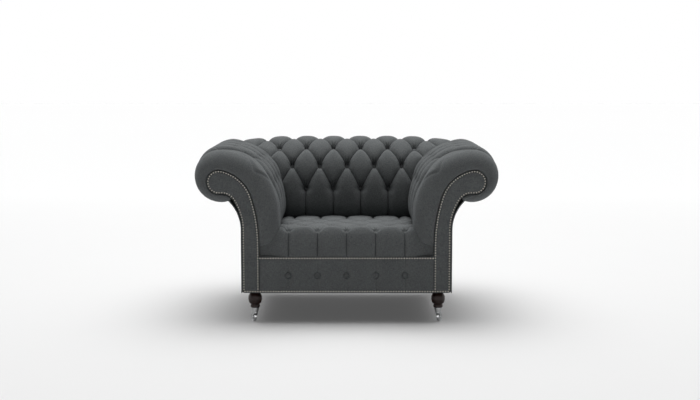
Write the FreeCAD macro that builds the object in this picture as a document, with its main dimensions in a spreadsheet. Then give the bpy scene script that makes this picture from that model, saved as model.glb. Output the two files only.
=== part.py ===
import FreeCAD, Part
import math
import os
import Sketcher

# Chesterfield armchair, millimetres.
# X runs across the chair, the front faces -Y, +Z is up and the floor is at Z = 0.
# Left and right are as seen by someone who stands in front of the chair.

SIZES = [
    # Whole chair
    ("overall_width", 1260, "over both arm rolls"),
    ("overall_depth", 930, "from the front of the arms to the back of the top roll"),
    ("underside_height", 131, "floor to the underside of the frame"),
    # Section across an arm, which the back repeats
    ("roll_radius", 108, "outside of the upholstered arm roll"),
    ("roll_height", 614, "floor to the axis of the arm roll"),
    ("tuft_rise", 12, "tufted crests above the plain front border of the arms"),
    ("roll_overhang", 193, "arm roll beyond the outside panel"),
    ("crest_radius", 228, "inner slope of the arm next to its crest"),
    ("pad_depth", 81, "fullest part of the inside pad, in front of the frame"),
    ("fullest_height", 440, "floor to the fullest part of the inside pad"),
    ("tuck_radius", 114, "lower edge of the inside pad, where it meets the seat"),
    ("panel_thickness", 5, "outside panels with their cover"),
    ("panel_flare_radius", 170, "outside panels where they sweep out under the roll"),
    ("panel_flare_height", 395, "floor to the start of that sweep"),
    ("scroll_stem", 70, "width of the scroll's upright"),
    ("scroll_head_radius", 50, "head of the scroll"),
    ("scroll_head_out", 4, "scroll head outward of the roll's axis"),
    ("scroll_head_drop", 21, "scroll head below the roll's axis"),
    ("scroll_shoulder_radius", 165, "upper inside curve of the scroll"),
    ("scroll_shoulder_angle", 102, "where the shoulder runs into the head"),
    ("scroll_neck_radius", 55, "hollow under the scroll head"),
    ("scroll_neck_angle", -96.5, "where the head runs into the neck"),
    ("scroll_inner_start", 334, "floor to the start of the inside curve"),
    ("scroll_outer_start", 393, "floor to the start of the outside curve"),
    # Clearances
    ("soft_gap", 0.3, "between a soft piece and its neighbours"),
    ("running_gap", 0.05, "radial, round a pin that turns"),
    # Upholstery
    ("front_edge_radius", 30, "front edge of the arm pads"),
    ("facing_setback", 3.3, "scroll facings behind the front of the arm pads"),
    ("facing_thickness", 18, "scroll facings and front border"),
    ("facing_edge", 2, "bevelled edge of the facings"),
    ("border_top", 283, "floor to the top of the front border"),
    ("seat_front_height", 406, "floor to the seat crown at the front"),
    ("seat_rear_height", 372, "floor to the seat crown at the back"),
    ("seat_setback", 6, "front of the seat behind the front of the arm pads"),
    ("seat_edge_radius", 38, "rounded top front edge of the seat"),
    ("hessian_thickness", 1.2, "lining under the stuffing"),
    ("corner_radius", 110, "rear corners of the roll, seen from above"),
    # Tufting
    ("tuft_pitch", 127, "buttons along a row of the back and the arms"),
    ("seat_tuft_pitch", 121, "buttons along a row of the seat"),
    ("seat_row_pitch", 107, "from row to row of the seat"),
    ("tuft_depth", 24, "button below the surface of the pad"),
    ("seat_tuft_depth", 17, "button below the surface of the seat"),
    ("pleat_depth", 11, "pleat below the surface, halfway between buttons"),
    ("dimple_half_angle", 23, "flank of a button's hollow from its axis"),
    ("pleat_half_angle", 40, "flank of a pleat from its middle plane"),
    ("first_pleat_depth", 110, "front of the arms to the first pleat"),
    ("button_diameter", 22, "covered buttons"),
    ("button_height", 5, "covered buttons"),
    ("border_button_height", 205, "floor to the buttons of the front border"),
    # Frame
    ("board_thickness", 24, "scroll boards and front rail"),
    ("board_gap", 0.3, "scroll boards inside the lining"),
    ("rear_board_gap", 6, "arm's rear board in front of the back's frame"),
    ("back_board_gap", 13, "boards of the back inside the frames of the arms"),
    ("rail_height", 100, "seat rails"),
    ("rail_thickness", 28, "side and rear seat rails"),
    ("top_rail_side", 52, "square rails in the scroll heads"),
    ("tack_rail_height", 50, "tacking rails"),
    ("tack_rail_thickness", 22, "tacking rails"),
    ("rear_post_side", 56, "square posts in the rear corners"),
    ("rear_post_top", 400, "floor to the top of the rear posts"),
    ("leg_block_side", 62, "square blocks over the front legs"),
    ("leg_block_height", 50, "blocks over the front legs"),
    ("webbing_width", 50, "seat webbing"),
    ("webbing_thickness", 1.5, "seat webbing"),
    ("webbing_pitch", 110, "strips that run from front to back"),
    ("cross_webbing_pitch", 130, "strips that run across"),
    ("dust_cover_thickness", 1, "cloth under the frame"),
    # Front legs
    ("front_leg_inset", 53, "outside arm panel to a front leg"),
    ("front_leg_setback", 57, "front of the arms to a front leg"),
    ("leg_bulb_diameter", 57, "widest part of the turned leg"),
    ("leg_bulb_height", 110, "floor to the widest part"),
    ("leg_bulb_length", 12, "upright stretch of the widest part"),
    ("leg_shoulder_diameter", 52, "turned leg between its bulb and the frame"),
    ("leg_shoulder_height", 125, "floor to that shoulder"),
    ("leg_swell_diameter", 49, "turned leg between its waist and its bulb"),
    ("leg_swell_height", 90, "floor to that swell"),
    ("leg_top_diameter", 44, "turned leg at the frame"),
    ("leg_waist_diameter", 35, "turned leg above its ring"),
    ("leg_waist_height", 78, "floor to the waist"),
    ("leg_ring_diameter", 41, "ring at the foot of the turned leg"),
    ("leg_ring_height", 61, "floor to the underside of the ring"),
    ("leg_ring_thickness", 9, "upright edge of the ring and its bevel"),
    ("leg_ring_edge", 2.5, "bevel under the ring"),
    ("leg_tenon_diameter", 21, "spigot in the castor cup"),
    ("leg_tenon_length", 9, "spigot in the castor cup"),
    ("leg_bolt_diameter", 8, "hanger bolts"),
    ("leg_bolt_depth", 28, "hanger bolt in the leg"),
    ("leg_bolt_length", 62, "hanger bolts"),
    # Rear legs
    ("rear_leg_side_inset", 37, "outside arm panel to a rear leg"),
    ("rear_leg_inset", 31, "outside back panel to the middle of the leg's top"),
    ("rear_leg_top", 46, "square top"),
    ("rear_leg_foot", 30, "square foot"),
    ("rear_leg_rake", 26, "how far the foot stands behind the top"),
    ("glide_diameter", 22, "nylon glides"),
    ("glide_height", 3, "nylon glides"),
    # Castors
    ("wheel_diameter", 35, "castor wheels"),
    ("wheel_width", 12, "castor wheels"),
    ("wheel_hub_diameter", 12, "castor wheel hub"),
    ("wheel_rim_depth", 3.5, "castor wheel rim"),
    ("wheel_recess", 2.5, "web of the wheel below its rim"),
    ("castor_trail", 12, "axle behind the swivel axis"),
    ("castor_turn", 57, "which way the castors stand in the photograph"),
    ("axle_diameter", 5, "axle pins"),
    ("axle_head", 1.5, "heads of the axle pins"),
    ("fork_wall", 3, "fork arms"),
    ("fork_side_gap", 0.5, "wheel to fork arm"),
    ("fork_plate", 4, "plate over the wheel"),
    ("fork_plate_diameter", 20, "plate over the wheel"),
    ("fork_eye_radius", 6, "fork arm round the axle"),
    ("kingpin_diameter", 6, "swivel pin"),
    ("kingpin_length", 9, "swivel pin in the cup"),
    ("cup_bottom", 41, "floor to the underside of the castor cup"),
    ("cup_top_diameter", 32, "castor cup under the ring"),
    ("cup_bottom_diameter", 24, "castor cup at the swivel"),
    ("cup_lip", 1.5, "bevelled lower edge of the castor cup"),
    ("cup_floor", 11, "floor of the cup, which holds the swivel pin"),
    ("swivel_gap", 0.1, "under the castor cup"),
]

doc = FreeCAD.newDocument("ChesterfieldArmchair")
sheet = doc.addObject("Spreadsheet::Sheet", "Sizes")


class Size(float):
    """A number that also knows its expression in the sheet."""

    def __new__(cls, value, text):
        size = float.__new__(cls, value)
        size.text = text
        return size

    def __add__(self, other):
        return Size(float(self) + float(other), "(%s + %s)" % (self.text, text_of(other)))

    def __radd__(self, other):
        return Size(float(other) + float(self), "(%s + %s)" % (text_of(other), self.text))

    def __sub__(self, other):
        return Size(float(self) - float(other), "(%s - %s)" % (self.text, text_of(other)))

    def __rsub__(self, other):
        return Size(float(other) - float(self), "(%s - %s)" % (text_of(other), self.text))

    def __mul__(self, other):
        return Size(float(self) * float(other), "(%s * %s)" % (self.text, text_of(other)))

    __rmul__ = __mul__

    def __truediv__(self, other):
        return Size(float(self) / float(other), "(%s / %s)" % (self.text, text_of(other)))

    def __neg__(self):
        return Size(-float(self), "(0 - %s)" % self.text)


def text_of(number):
    return number.text if isinstance(number, Size) else repr(float(number))


class Sheet:
    """The driving sizes, each as an attribute."""


S = Sheet()
for row, (alias, number, note) in enumerate(SIZES, start=1):
    sheet.set("A%d" % row, str(number))
    sheet.set("B%d" % row, note)
    sheet.setAlias("A%d" % row, alias)
    setattr(S, alias, Size(number, "Sizes." + alias))
doc.recompute()

parts = []


def keep(thing, name):
    thing.Label = name
    parts.append(thing)
    return thing


def bind(thing, place, number):
    thing.setExpression(place, text_of(number))


def stand_at(thing, x, y, z):
    for axis, number in (("x", x), ("y", y), ("z", z)):
        bind(thing, "Placement.Base." + axis, number)


# Sizes that several pieces share

half_width = S.overall_width / 2
half_depth = S.overall_depth / 2
front = -half_depth
roll_across = half_width - S.roll_radius
body_half = half_width - S.roll_overhang
scroll_outer = body_half - S.panel_thickness
scroll_inner = scroll_outer - S.scroll_stem
fullest_across = scroll_inner - S.pad_depth
back_shift = half_depth - half_width
facing_front = front + S.facing_setback
facing_rear = facing_front + S.facing_thickness
board_rear = facing_rear + S.board_thickness
board_inset = S.hessian_thickness + S.board_gap
rail_bottom = S.underside_height + S.dust_cover_thickness
rail_top = rail_bottom + S.rail_height
side_rail_outer = scroll_outer - board_inset
side_rail_inner = side_rail_outer - S.rail_thickness
rear_rail_rear = side_rail_outer + back_shift
rear_rail_front = rear_rail_rear - S.rail_thickness
tack_top = S.scroll_inner_start
tack_bottom = tack_top - S.tack_rail_height
webbing_top = rail_top + S.webbing_thickness * 2
seat_bottom = webbing_top + S.hessian_thickness + S.soft_gap


# Plain pieces of the frame

def box(name, length, width, height, x, y, z):
    solid = doc.addObject("Part::Box", name)
    bind(solid, "Length", length)
    bind(solid, "Width", width)
    bind(solid, "Height", height)
    stand_at(solid, x, y, z)
    return solid


def cylinder(name, diameter, height, x, y, z):
    solid = doc.addObject("Part::Cylinder", name)
    bind(solid, "Radius", diameter / 2)
    bind(solid, "Height", height)
    stand_at(solid, x, y, z)
    return solid


def cut(name, base, tool):
    result = doc.addObject("Part::Cut", name)
    result.Base = base
    result.Tool = tool
    return result


def group(name, solids):
    result = doc.addObject("Part::Compound", name)
    result.Links = solids
    return result


SIDES = (("left", -1), ("right", 1))


def mirrored_x(side, near, width):
    """The low X of a box that spans near to near + width on one side of the chair."""
    return near if side > 0 else -near - width


def make_rails():
    front_rail_half = scroll_inner + board_inset
    keep(box("front_rail", front_rail_half * 2, S.board_thickness, S.rail_height,
             -front_rail_half, facing_rear, rail_bottom), "front_seat_rail")
    rear_half = side_rail_outer - S.rear_post_side
    keep(box("rear_rail", rear_half * 2, S.rail_thickness, S.rail_height,
             -rear_half, rear_rail_front, rail_bottom), "rear_seat_rail")
    post_front = rear_rail_rear - S.rear_post_side
    for label, side in SIDES:
        x = mirrored_x(side, side_rail_inner, S.rail_thickness)
        keep(box("side_rail_" + label, S.rail_thickness, post_front - board_rear, S.rail_height,
                 x, board_rear, rail_bottom), "side_seat_rail_" + label)
        x = mirrored_x(side, side_rail_outer - S.rear_post_side, S.rear_post_side)
        post = box("post_" + label, S.rear_post_side, S.rear_post_side, S.rear_post_top - rail_bottom,
                   x, post_front, rail_bottom)
        keep(cut("bored_post_" + label, post, leg_bore("rear_bore_" + label, side, rear_leg_y, rear_leg_across)),
             "rear_corner_post_" + label)
        x = mirrored_x(side, side_rail_inner - S.leg_block_side, S.leg_block_side)
        block = box("block_" + label, S.leg_block_side, S.leg_block_side, S.leg_block_height,
                    x, board_rear, rail_bottom)
        keep(cut("bored_block_" + label, block, leg_bore("front_bore_" + label, side, front_leg_y,
                                                         front_leg_across)), "front_leg_block_" + label)


front_leg_across = body_half - S.front_leg_inset
rear_leg_across = body_half - S.rear_leg_side_inset
front_leg_y = front + S.front_leg_setback
rear_leg_y = body_half + back_shift - S.rear_leg_inset
bolt_bottom = S.underside_height - S.leg_bolt_depth


def leg_bore(name, side, y, across):
    return cylinder(name, S.leg_bolt_diameter, S.leg_bolt_length, side * across, y, bolt_bottom)


def make_webbing():
    y = facing_rear
    length = rear_rail_rear - facing_rear
    strips = []
    for place in range(-2, 3):
        x = place * S.webbing_pitch - S.webbing_width / 2
        strips.append(box("long_strip_%d" % place, S.webbing_width, length, S.webbing_thickness,
                          x, y, rail_top))
    keep(group("long_strips", strips), "seat_webbing_long")
    cross = []
    for place in range(4):
        y = board_rear + S.leg_block_side + place * S.cross_webbing_pitch
        cross.append(box("cross_strip_%d" % place, side_rail_outer * 2, S.webbing_width, S.webbing_thickness,
                         -side_rail_outer, y, rail_top + S.webbing_thickness))
    keep(group("cross_strips", cross), "seat_webbing_cross")
    hessian_half = side_rail_inner - S.leg_block_side
    depth = scroll_inner + back_shift - facing_rear - S.soft_gap
    keep(box("hessian", hessian_half * 2, depth, S.hessian_thickness,
             -hessian_half, facing_rear, webbing_top), "seat_hessian")


def make_dust_cover():
    half = scroll_outer - S.hessian_thickness
    cover = box("cover", half * 2, rear_rail_rear - facing_rear, S.dust_cover_thickness,
                -half, facing_rear, S.underside_height)
    holes = []
    for label, side in SIDES:
        holes.append(leg_bore("cover_front_" + label, side, front_leg_y, front_leg_across))
        holes.append(leg_bore("cover_rear_" + label, side, rear_leg_y, rear_leg_across))
    keep(cut("pierced_cover", cover, group("cover_holes", holes)), "dust_cover")


# The scroll that the facings, the boards, the linings and the hollow of the pads share

def towards(centre, angle, radius):
    turn = math.radians(angle)
    return (centre[0] + radius * math.cos(turn), centre[1] + radius * math.sin(turn))


def heading(start, end):
    return math.degrees(math.atan2(end[1] - start[1], end[0] - start[0]))


def arc(lay, centre, radius, start, end):
    """An arc edge about centre, laid in space by lay; angles in degrees."""
    points = [lay(*towards(centre, angle, radius)) for angle in (start, (start + end) / 2, end)]
    return Part.Arc(*points).toShape()


def line(lay, start, end):
    return Part.LineSegment(lay(*start), lay(*end)).toShape()


def tangent_radius(reach, climb, inner):
    """Radius of the arc that leaves an upright line and runs into a circle of radius inner."""
    return (reach ** 2 + climb ** 2 - inner ** 2) / (2 * (reach - inner))


def scroll_head():
    return (roll_across + S.scroll_head_out, S.roll_height - S.scroll_head_drop)


def scroll_face(lay, offset, bottom):
    """The scroll outline, grown by offset, from its foot at bottom."""
    head = scroll_head()
    shoulder = towards(head, S.scroll_shoulder_angle - 180, S.scroll_shoulder_radius - S.scroll_head_radius)
    inner_start = float(S.scroll_inner_start)
    inner_radius = tangent_radius(shoulder[0] - scroll_inner, shoulder[1] - inner_start,
                                  S.scroll_shoulder_radius)
    inner = (scroll_inner + inner_radius, inner_start)
    neck = towards(head, S.scroll_neck_angle, S.scroll_head_radius + S.scroll_neck_radius)
    outer_start = float(S.scroll_outer_start)
    outer_radius = tangent_radius(neck[0] - scroll_outer, neck[1] - outer_start, S.scroll_neck_radius)
    outer = (scroll_outer + outer_radius, outer_start)
    low_left = (scroll_inner - offset, bottom)
    low_right = (scroll_outer + offset, bottom)
    inner_end = heading(inner, shoulder) % 360
    outer_end = heading(outer, neck) % 360
    head_end = S.scroll_neck_angle
    edges = [
        line(lay, low_left, (low_left[0], inner_start)),
        arc(lay, inner, inner_radius + offset, 180, inner_end),
        arc(lay, shoulder, S.scroll_shoulder_radius + offset, inner_end, S.scroll_shoulder_angle),
        arc(lay, head, S.scroll_head_radius + offset, S.scroll_shoulder_angle, 0),
        arc(lay, head, S.scroll_head_radius + offset, 0, head_end),
        arc(lay, neck, S.scroll_neck_radius - offset, head_end + 180, outer_end),
        arc(lay, outer, outer_radius - offset, outer_end, 180),
        line(lay, (low_right[0], outer_start), low_right),
        line(lay, low_right, low_left),
    ]
    return Part.Face(Part.Wire(edges))


class Section:
    """The upholstered outline across an arm or the back, grown by offset."""

    def __init__(self, rise, offset=0.0):
        self.offset = float(offset)
        self.roll = (float(roll_across), float(S.roll_height + rise))
        self.crest = (float(roll_across), self.roll[1] + S.roll_radius - S.crest_radius)
        self.full_start = float(S.fullest_height)
        drop = self.crest[1] - self.full_start
        reach = roll_across - fullest_across
        self.full_radius = ((S.crest_radius ** 2 - reach ** 2 - drop ** 2)
                            / (2 * (S.crest_radius - reach)))
        self.full = (fullest_across + self.full_radius, self.full_start)
        self.tuck = (fullest_across + S.tuck_radius, self.full_start)
        self.join = 180 - heading(self.full, self.crest) % 360
        self.foot = math.degrees(math.acos(1 - S.pad_depth / S.tuck_radius))
        self.meet = self.meeting_point()

    def meeting_point(self):
        """Where the underside of the roll meets the outside panel."""
        flare = (body_half + S.panel_flare_radius, float(S.panel_flare_height))
        apart = math.dist(flare, self.roll)
        along = (S.panel_flare_radius ** 2 - S.roll_radius ** 2 + apart ** 2) / (2 * apart)
        across = math.sqrt(S.panel_flare_radius ** 2 - along ** 2)
        way = heading(flare, self.roll)
        foot = towards(flare, way, along)
        return towards(foot, way + 90, across)

    def centre(self, angle):
        """Centre and radius of the arc that holds the inside surface at this angle."""
        if angle >= self.join:
            return self.crest, S.crest_radius + self.offset
        if angle >= 0:
            return self.full, self.full_radius + self.offset
        return self.tuck, S.tuck_radius + self.offset

    def surface(self, angle, depth=0.0):
        """A point of the inside; 90 is the crest, 0 the fullest part."""
        centre, radius = self.centre(angle)
        return towards(centre, 180 - angle, radius - depth)

    def core(self, nudge=0.0):
        """Points well inside the scroll, from its head down to its stem."""
        across, height = scroll_head()
        head = (across + nudge, height)
        neck = towards(head, S.scroll_neck_angle, S.scroll_head_radius + S.scroll_neck_radius)
        waist = towards(neck, 160, S.scroll_neck_radius + S.scroll_stem / 2)
        return head, waist

    def outer_edges(self, lay):
        grown = self.offset
        meet_angle = heading(self.roll, self.meet)
        return [
            arc(lay, self.tuck, S.tuck_radius + grown, 180 + self.foot, 180),
            arc(lay, self.full, self.full_radius + grown, 180, 180 - self.join),
            arc(lay, self.crest, S.crest_radius + grown, 180 - self.join, 90),
            arc(lay, self.roll, S.roll_radius + grown, 90, -10),
            arc(lay, self.roll, S.roll_radius + grown, -10, meet_angle),
        ]

    def pad_face(self, lay):
        """The upholstery outside the scroll, from the roll's underside round to the seat."""
        meet = towards(self.roll, heading(self.roll, self.meet), S.roll_radius + self.offset)
        foot = towards(self.tuck, 180 + self.foot, S.tuck_radius + self.offset)
        head, waist = self.core()
        stem = (scroll_inner + S.scroll_stem / 2, foot[1])
        edges = self.outer_edges(lay)
        for start, end in ((meet, head), (head, waist), (waist, stem), (stem, foot)):
            edges.append(line(lay, start, end))
        return Part.Face(Part.Wire(edges))

    def panel_face(self, lay):
        """The outside panel, from the underside of the frame to the roll."""
        flare = (body_half + S.panel_flare_radius, float(S.panel_flare_height))
        slot = math.degrees(2 * S.soft_gap / S.panel_flare_radius)
        meet_angle = heading(flare, self.meet) % 360 + slot
        head, waist = self.core(-2 * S.soft_gap)
        bottom = float(S.underside_height)
        stem = (scroll_inner + S.scroll_stem / 2, bottom)
        start = towards(flare, meet_angle, S.panel_flare_radius)
        edges = [
            line(lay, (float(body_half), bottom), (float(body_half), flare[1])),
            arc(lay, flare, S.panel_flare_radius, 180, meet_angle),
            line(lay, start, head),
            line(lay, head, waist),
            line(lay, waist, stem),
            line(lay, stem, (float(body_half), bottom)),
        ]
        return Part.Face(Part.Wire(edges))


def lay_arm(y):
    return lambda across, height: FreeCAD.Vector(float(across), float(y), float(height))


def lay_back(x):
    return lambda across, height: FreeCAD.Vector(float(x), float(across) + float(back_shift), float(height))


ALONG_Y = FreeCAD.Vector(0, 1, 0)
ALONG_X = FreeCAD.Vector(1, 0, 0)
MIDDLE = FreeCAD.Vector(0, 0, 0)


def mitre_half(side_of_arm):
    """A big wedge that holds one side of the mitre between the right arm and the back."""
    reach = float(S.overall_width)
    shift = float(S.soft_gap) / 2 * (1 if side_of_arm else -1)
    corner = FreeCAD.Vector(-back_shift - reach + shift, -reach - shift, -1)
    far = FreeCAD.Vector(-back_shift + reach + shift, reach - shift, -1)
    third = FreeCAD.Vector(far.x, corner.y, -1) if side_of_arm else FreeCAD.Vector(corner.x, far.y, -1)
    face = Part.Face(Part.makePolygon([corner, far, third, corner]))
    return face.extrude(FreeCAD.Vector(0, 0, 2 * reach))


def mirror(shape):
    return shape.mirror(MIDDLE, ALONG_X)


def arm_length_shape(face):
    """A face in the plane of the arm's front, carried back and mitred at the corner."""
    long = face.extrude(ALONG_Y * float(S.overall_depth))
    return long.common(mitre_half(True))


def back_length_shape(face):
    """A face in the middle plane of the back, carried to both sides and mitred."""
    half = face.extrude(ALONG_X * float(half_width)).common(mitre_half(False))
    whole = half.fuse(mirror(half))
    return whole.removeSplitter()


def rounded_plan():
    """The chair seen from above, with its rear corners rounded."""
    right = float(half_width)
    rear = float(half_depth)
    radius = float(S.corner_radius)
    turn = (right - radius, rear - radius)
    flat = lambda x, y: FreeCAD.Vector(x, y, 0)
    edges = [
        line(flat, (-right, -rear), (right, -rear)),
        line(flat, (right, -rear), (right, turn[1])),
        arc(flat, turn, radius, 0, 90),
        line(flat, (turn[0], rear), (-turn[0], rear)),
        arc(flat, (-turn[0], turn[1]), radius, 90, 180),
        line(flat, (-right, turn[1]), (-right, -rear)),
    ]
    return Part.Face(Part.Wire(edges)).extrude(FreeCAD.Vector(0, 0, float(S.overall_width)))


# Tufting: pleats run between the sunk buttons and part the pad into diamonds

DIMPLE_SIDES = 8
BUTTON_SIDES = 12
BUTTON_TOP = 0.55
DIMPLE_RISE = 1.3
TOOL_CLEAR = 14
ROLL_PLEAT_SHARE = 0.7
ROLL_PLEAT_TURN = 140
LOW_PLEAT_SHARE = 0.8
LOW_PLEAT_ANGLE = -8
FRONT_PLEAT_SHARE = 0.5


def frustum(bottom, top, height, centre, out, sides):
    """A cone with flat sides, which keeps the count of faces down where it repeats."""
    across = FreeCAD.Vector(0, 0, 1).cross(out)
    if across.Length < 0.1:
        across = FreeCAD.Vector(1, 0, 0)
    across.normalize()
    beside = out.cross(across)
    rings = []
    for radius, level in ((bottom, 0), (top, height)):
        grown = radius / math.cos(math.pi / sides)
        corners = []
        for corner in range(sides):
            angle = 2 * math.pi * (corner + 0.5) / sides
            corners.append(centre + out * level + across * (grown * math.cos(angle))
                           + beside * (grown * math.sin(angle)))
        rings.append(corners)
    low, high = rings
    faces = [low, high]
    for corner in range(sides):
        faces.append([low[corner - 1], low[corner], high[corner], high[corner - 1]])
    shell = Part.Shell([Part.Face(Part.makePolygon(corners + corners[:1])) for corners in faces])
    solid = Part.Solid(shell)
    solid.fix(1e-6, 1e-6, 1e-6)
    return solid


class Tufts:
    """Buttons in rows over a surface given by place(along, row, depth) and its normal."""

    def __init__(self, place, normal, depth):
        self.place = place
        self.normal = normal
        self.depth = float(depth)
        self.tools = []

    def dimple(self, along, row):
        out = self.normal(along, row)
        radius = float(S.button_diameter / 2 + S.soft_gap)
        rise = self.depth * DIMPLE_RISE
        flare = radius + rise * math.tan(math.radians(S.dimple_half_angle))
        self.tools.append(frustum(radius, flare, rise, self.place(along, row, self.depth), out, DIMPLE_SIDES))

    def trench(self, start, end, out, height):
        run = end - start
        side = run.cross(out).normalize()
        over = run.normalize() * 2
        run = end - start
        half = height * math.tan(math.radians(S.pleat_half_angle))
        tip = start - over
        corners = [tip, tip + out * height + side * half, tip + out * height - side * half, tip]
        self.tools.append(Part.Face(Part.makePolygon(corners)).extrude(run + over * 2))

    def pleat(self, stops):
        """A pleat through stops of (along, row, depth)."""
        height = self.depth + TOOL_CLEAR
        for near, far in zip(stops, stops[1:]):
            start = self.place(*near)
            end = self.place(*far)
            out = self.normal((near[0] + far[0]) / 2, (near[1] + far[1]) / 2)
            run = (end - start).normalize()
            out = (out - run * out.dot(run)).normalize()
            self.trench(start, end, out, height)

    def diagonal(self, near, far):
        middle = ((near[0] + far[0]) / 2, (near[1] + far[1]) / 2, float(S.pleat_depth))
        self.pleat([near + (self.depth,), middle, far + (self.depth,)])


ROW_ANGLES = (90, 60, 30, 10)


def curved_tufts(section, to_space):
    """Tufts on the inside of an arm or the back; rows are angles of its section."""
    def place(along, angle, depth):
        return to_space(along, *section.surface(angle, depth))

    def normal(along, angle):
        return (place(along, angle, 0) - place(along, angle, 1)).normalize()

    return Tufts(place, normal, S.tuft_depth)


def roll_pleat(section, to_space, axis, along):
    """The pleat that runs from a crest button over the roll to its underside."""
    depth = float(S.pleat_depth) * ROLL_PLEAT_SHARE
    half = (depth + 3) * math.tan(math.radians(S.pleat_half_angle))
    across, height = section.roll
    crest = height + S.roll_radius
    corners = [to_space(along, across, crest - depth), to_space(along - half, across, crest + 3),
               to_space(along + half, across, crest + 3), to_space(along, across, crest - depth)]
    centre = to_space(along, across, height)
    return Part.Face(Part.makePolygon(corners)).revolve(centre, axis, ROLL_PLEAT_TURN)


def pad_tools(section, to_space, axis, rows, limits):
    """Everything that is cut into a curved pad; rows holds where the buttons stand in each row."""
    tufts = curved_tufts(section, to_space)
    half = S.tuft_pitch / 2
    for angle, columns in zip(ROW_ANGLES, rows):
        for along in columns:
            tufts.dimple(along, angle)
    for (upper, lower), columns in zip(zip(ROW_ANGLES, ROW_ANGLES[1:]), rows):
        for along in columns:
            for step in (-half, half):
                if limits[0] < along + step < limits[1]:
                    tufts.diagonal((float(along), upper), (float(along + step), lower))
    for along in rows[-1]:
        stops = [(float(along), ROW_ANGLES[-1], tufts.depth),
                 (float(along), LOW_PLEAT_ANGLE, float(S.pleat_depth)),
                 (float(along), -section.foot * LOW_PLEAT_SHARE, float(S.pleat_depth) * LOW_PLEAT_SHARE)]
        tufts.pleat(stops)
    return tufts.tools + [roll_pleat(section, to_space, axis, float(along)) for along in rows[0]]


def columns_from(start, count):
    return [start + place * S.tuft_pitch for place in range(count)]


def arm_rows():
    first = front + S.first_pleat_depth
    second = first + S.tuft_pitch / 2
    return [columns_from(first, 6), columns_from(second, 5), columns_from(first, 4), columns_from(second, 4)]


def back_rows():
    half = S.tuft_pitch / 2
    rows = []
    for count in (7, 6, 5, 4):
        rows.append([(2 * place - count + 1) * half for place in range(count)])
    return rows


def arm_space(along, across, height):
    return FreeCAD.Vector(float(across), float(along), float(height))


def back_space(along, across, height):
    return FreeCAD.Vector(float(along), float(across) + float(back_shift), float(height))


def one_solid(shape):
    """The largest solid, cleaned, with the crumbs of the cut left out."""
    return max(shape.Solids, key=lambda solid: solid.Volume)


def feature(name, shape):
    piece = doc.addObject("Part::Feature", name)
    piece.Shape = shape
    piece.Placement = FreeCAD.Placement()
    return keep(piece, name)


def rounded_front(pad, section):
    """The pad with its outer front edge rounded."""
    lay = lay_arm(front)
    middles = [edge.valueAt((edge.FirstParameter + edge.LastParameter) / 2)
               for edge in section.outer_edges(lay)]
    near = [edge for edge in pad.Edges
            if any(edge.distToShape(Part.Vertex(point))[0] < 0.01 for point in middles)]
    return pad.makeFillet(float(S.front_edge_radius), near)


def make_arm_pads():
    plain = Section(0)
    section = Section(S.tuft_rise)
    hollow = scroll_face(lay_arm(front), S.soft_gap, 0)
    border = plain.pad_face(lay_arm(front)).cut(hollow).extrude(ALONG_Y * float(S.first_pleat_depth))
    border = rounded_front(one_solid(border), plain)
    start = front + S.first_pleat_depth
    hollow = scroll_face(lay_arm(start), S.soft_gap, 0)
    tufted = one_solid(arm_length_shape(section.pad_face(lay_arm(start)).cut(hollow)))
    pad = one_solid(border.fuse(tufted)).common(rounded_plan())
    limits = (float(front), float(half_depth))
    pad = one_solid(pad.cut(pad_tools(section, arm_space, ALONG_Y, arm_rows(), limits)))
    feature("arm_pad_right", pad)
    feature("arm_pad_left", mirror(pad))


def make_back_pad():
    section = Section(S.tuft_rise)
    face = section.pad_face(lay_back(0))
    hollow = scroll_face(lay_back(0), S.soft_gap, 0)
    pad = one_solid(back_length_shape(face.cut(hollow)).common(rounded_plan()))
    limits = (-float(roll_across), float(roll_across))
    pad = one_solid(pad.cut(pad_tools(section, back_space, ALONG_X, back_rows(), limits)))
    feature("back_pad", pad)


def seat_top(y):
    """Height of the seat crown at y, which falls towards the back."""
    rear = float(scroll_inner + back_shift)
    share = (y - front) / (rear - front)
    return S.seat_front_height + (S.seat_rear_height - S.seat_front_height) * share


def seat_blank():
    seat_front = float(front + S.seat_setback)
    rear = float(scroll_inner + back_shift - S.soft_gap)
    under = float(facing_rear + S.soft_gap)
    radius = float(S.seat_edge_radius)
    side = lambda y, z: FreeCAD.Vector(-float(scroll_inner) + float(S.soft_gap), y, z)
    slope = heading((seat_front, seat_top(seat_front)), (rear, seat_top(rear)))
    centre_y = seat_front + radius
    centre = (centre_y, seat_top(centre_y) - radius / math.cos(math.radians(slope)))
    round_end = towards(centre, 90 + slope, radius)
    border = float(S.border_top + S.soft_gap)
    bottom = float(seat_bottom)
    edges = [
        line(side, (seat_front, border), (seat_front, centre[1])),
        arc(side, centre, radius, 180, 90 + slope),
        line(side, round_end, (rear, seat_top(rear))),
        line(side, (rear, seat_top(rear)), (rear, bottom)),
        line(side, (rear, bottom), (under, bottom)),
        line(side, (under, bottom), (under, border)),
        line(side, (under, border), (seat_front, border)),
    ]
    width = 2 * float(scroll_inner - S.soft_gap)
    return Part.Face(Part.Wire(edges)).extrude(ALONG_X * width)


def seat_rows():
    """Rows of the seat from the front edge to the back, as (y, columns)."""
    first = front + S.seat_setback + S.seat_edge_radius * 0.4
    rows = []
    for place in range(5):
        count = 5 if place % 2 == 0 else 4
        columns = [(2 * column - count + 1) * S.seat_tuft_pitch / 2 for column in range(count)]
        rows.append((float(first + place * S.seat_row_pitch), [float(x) for x in columns]))
    return rows


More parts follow.
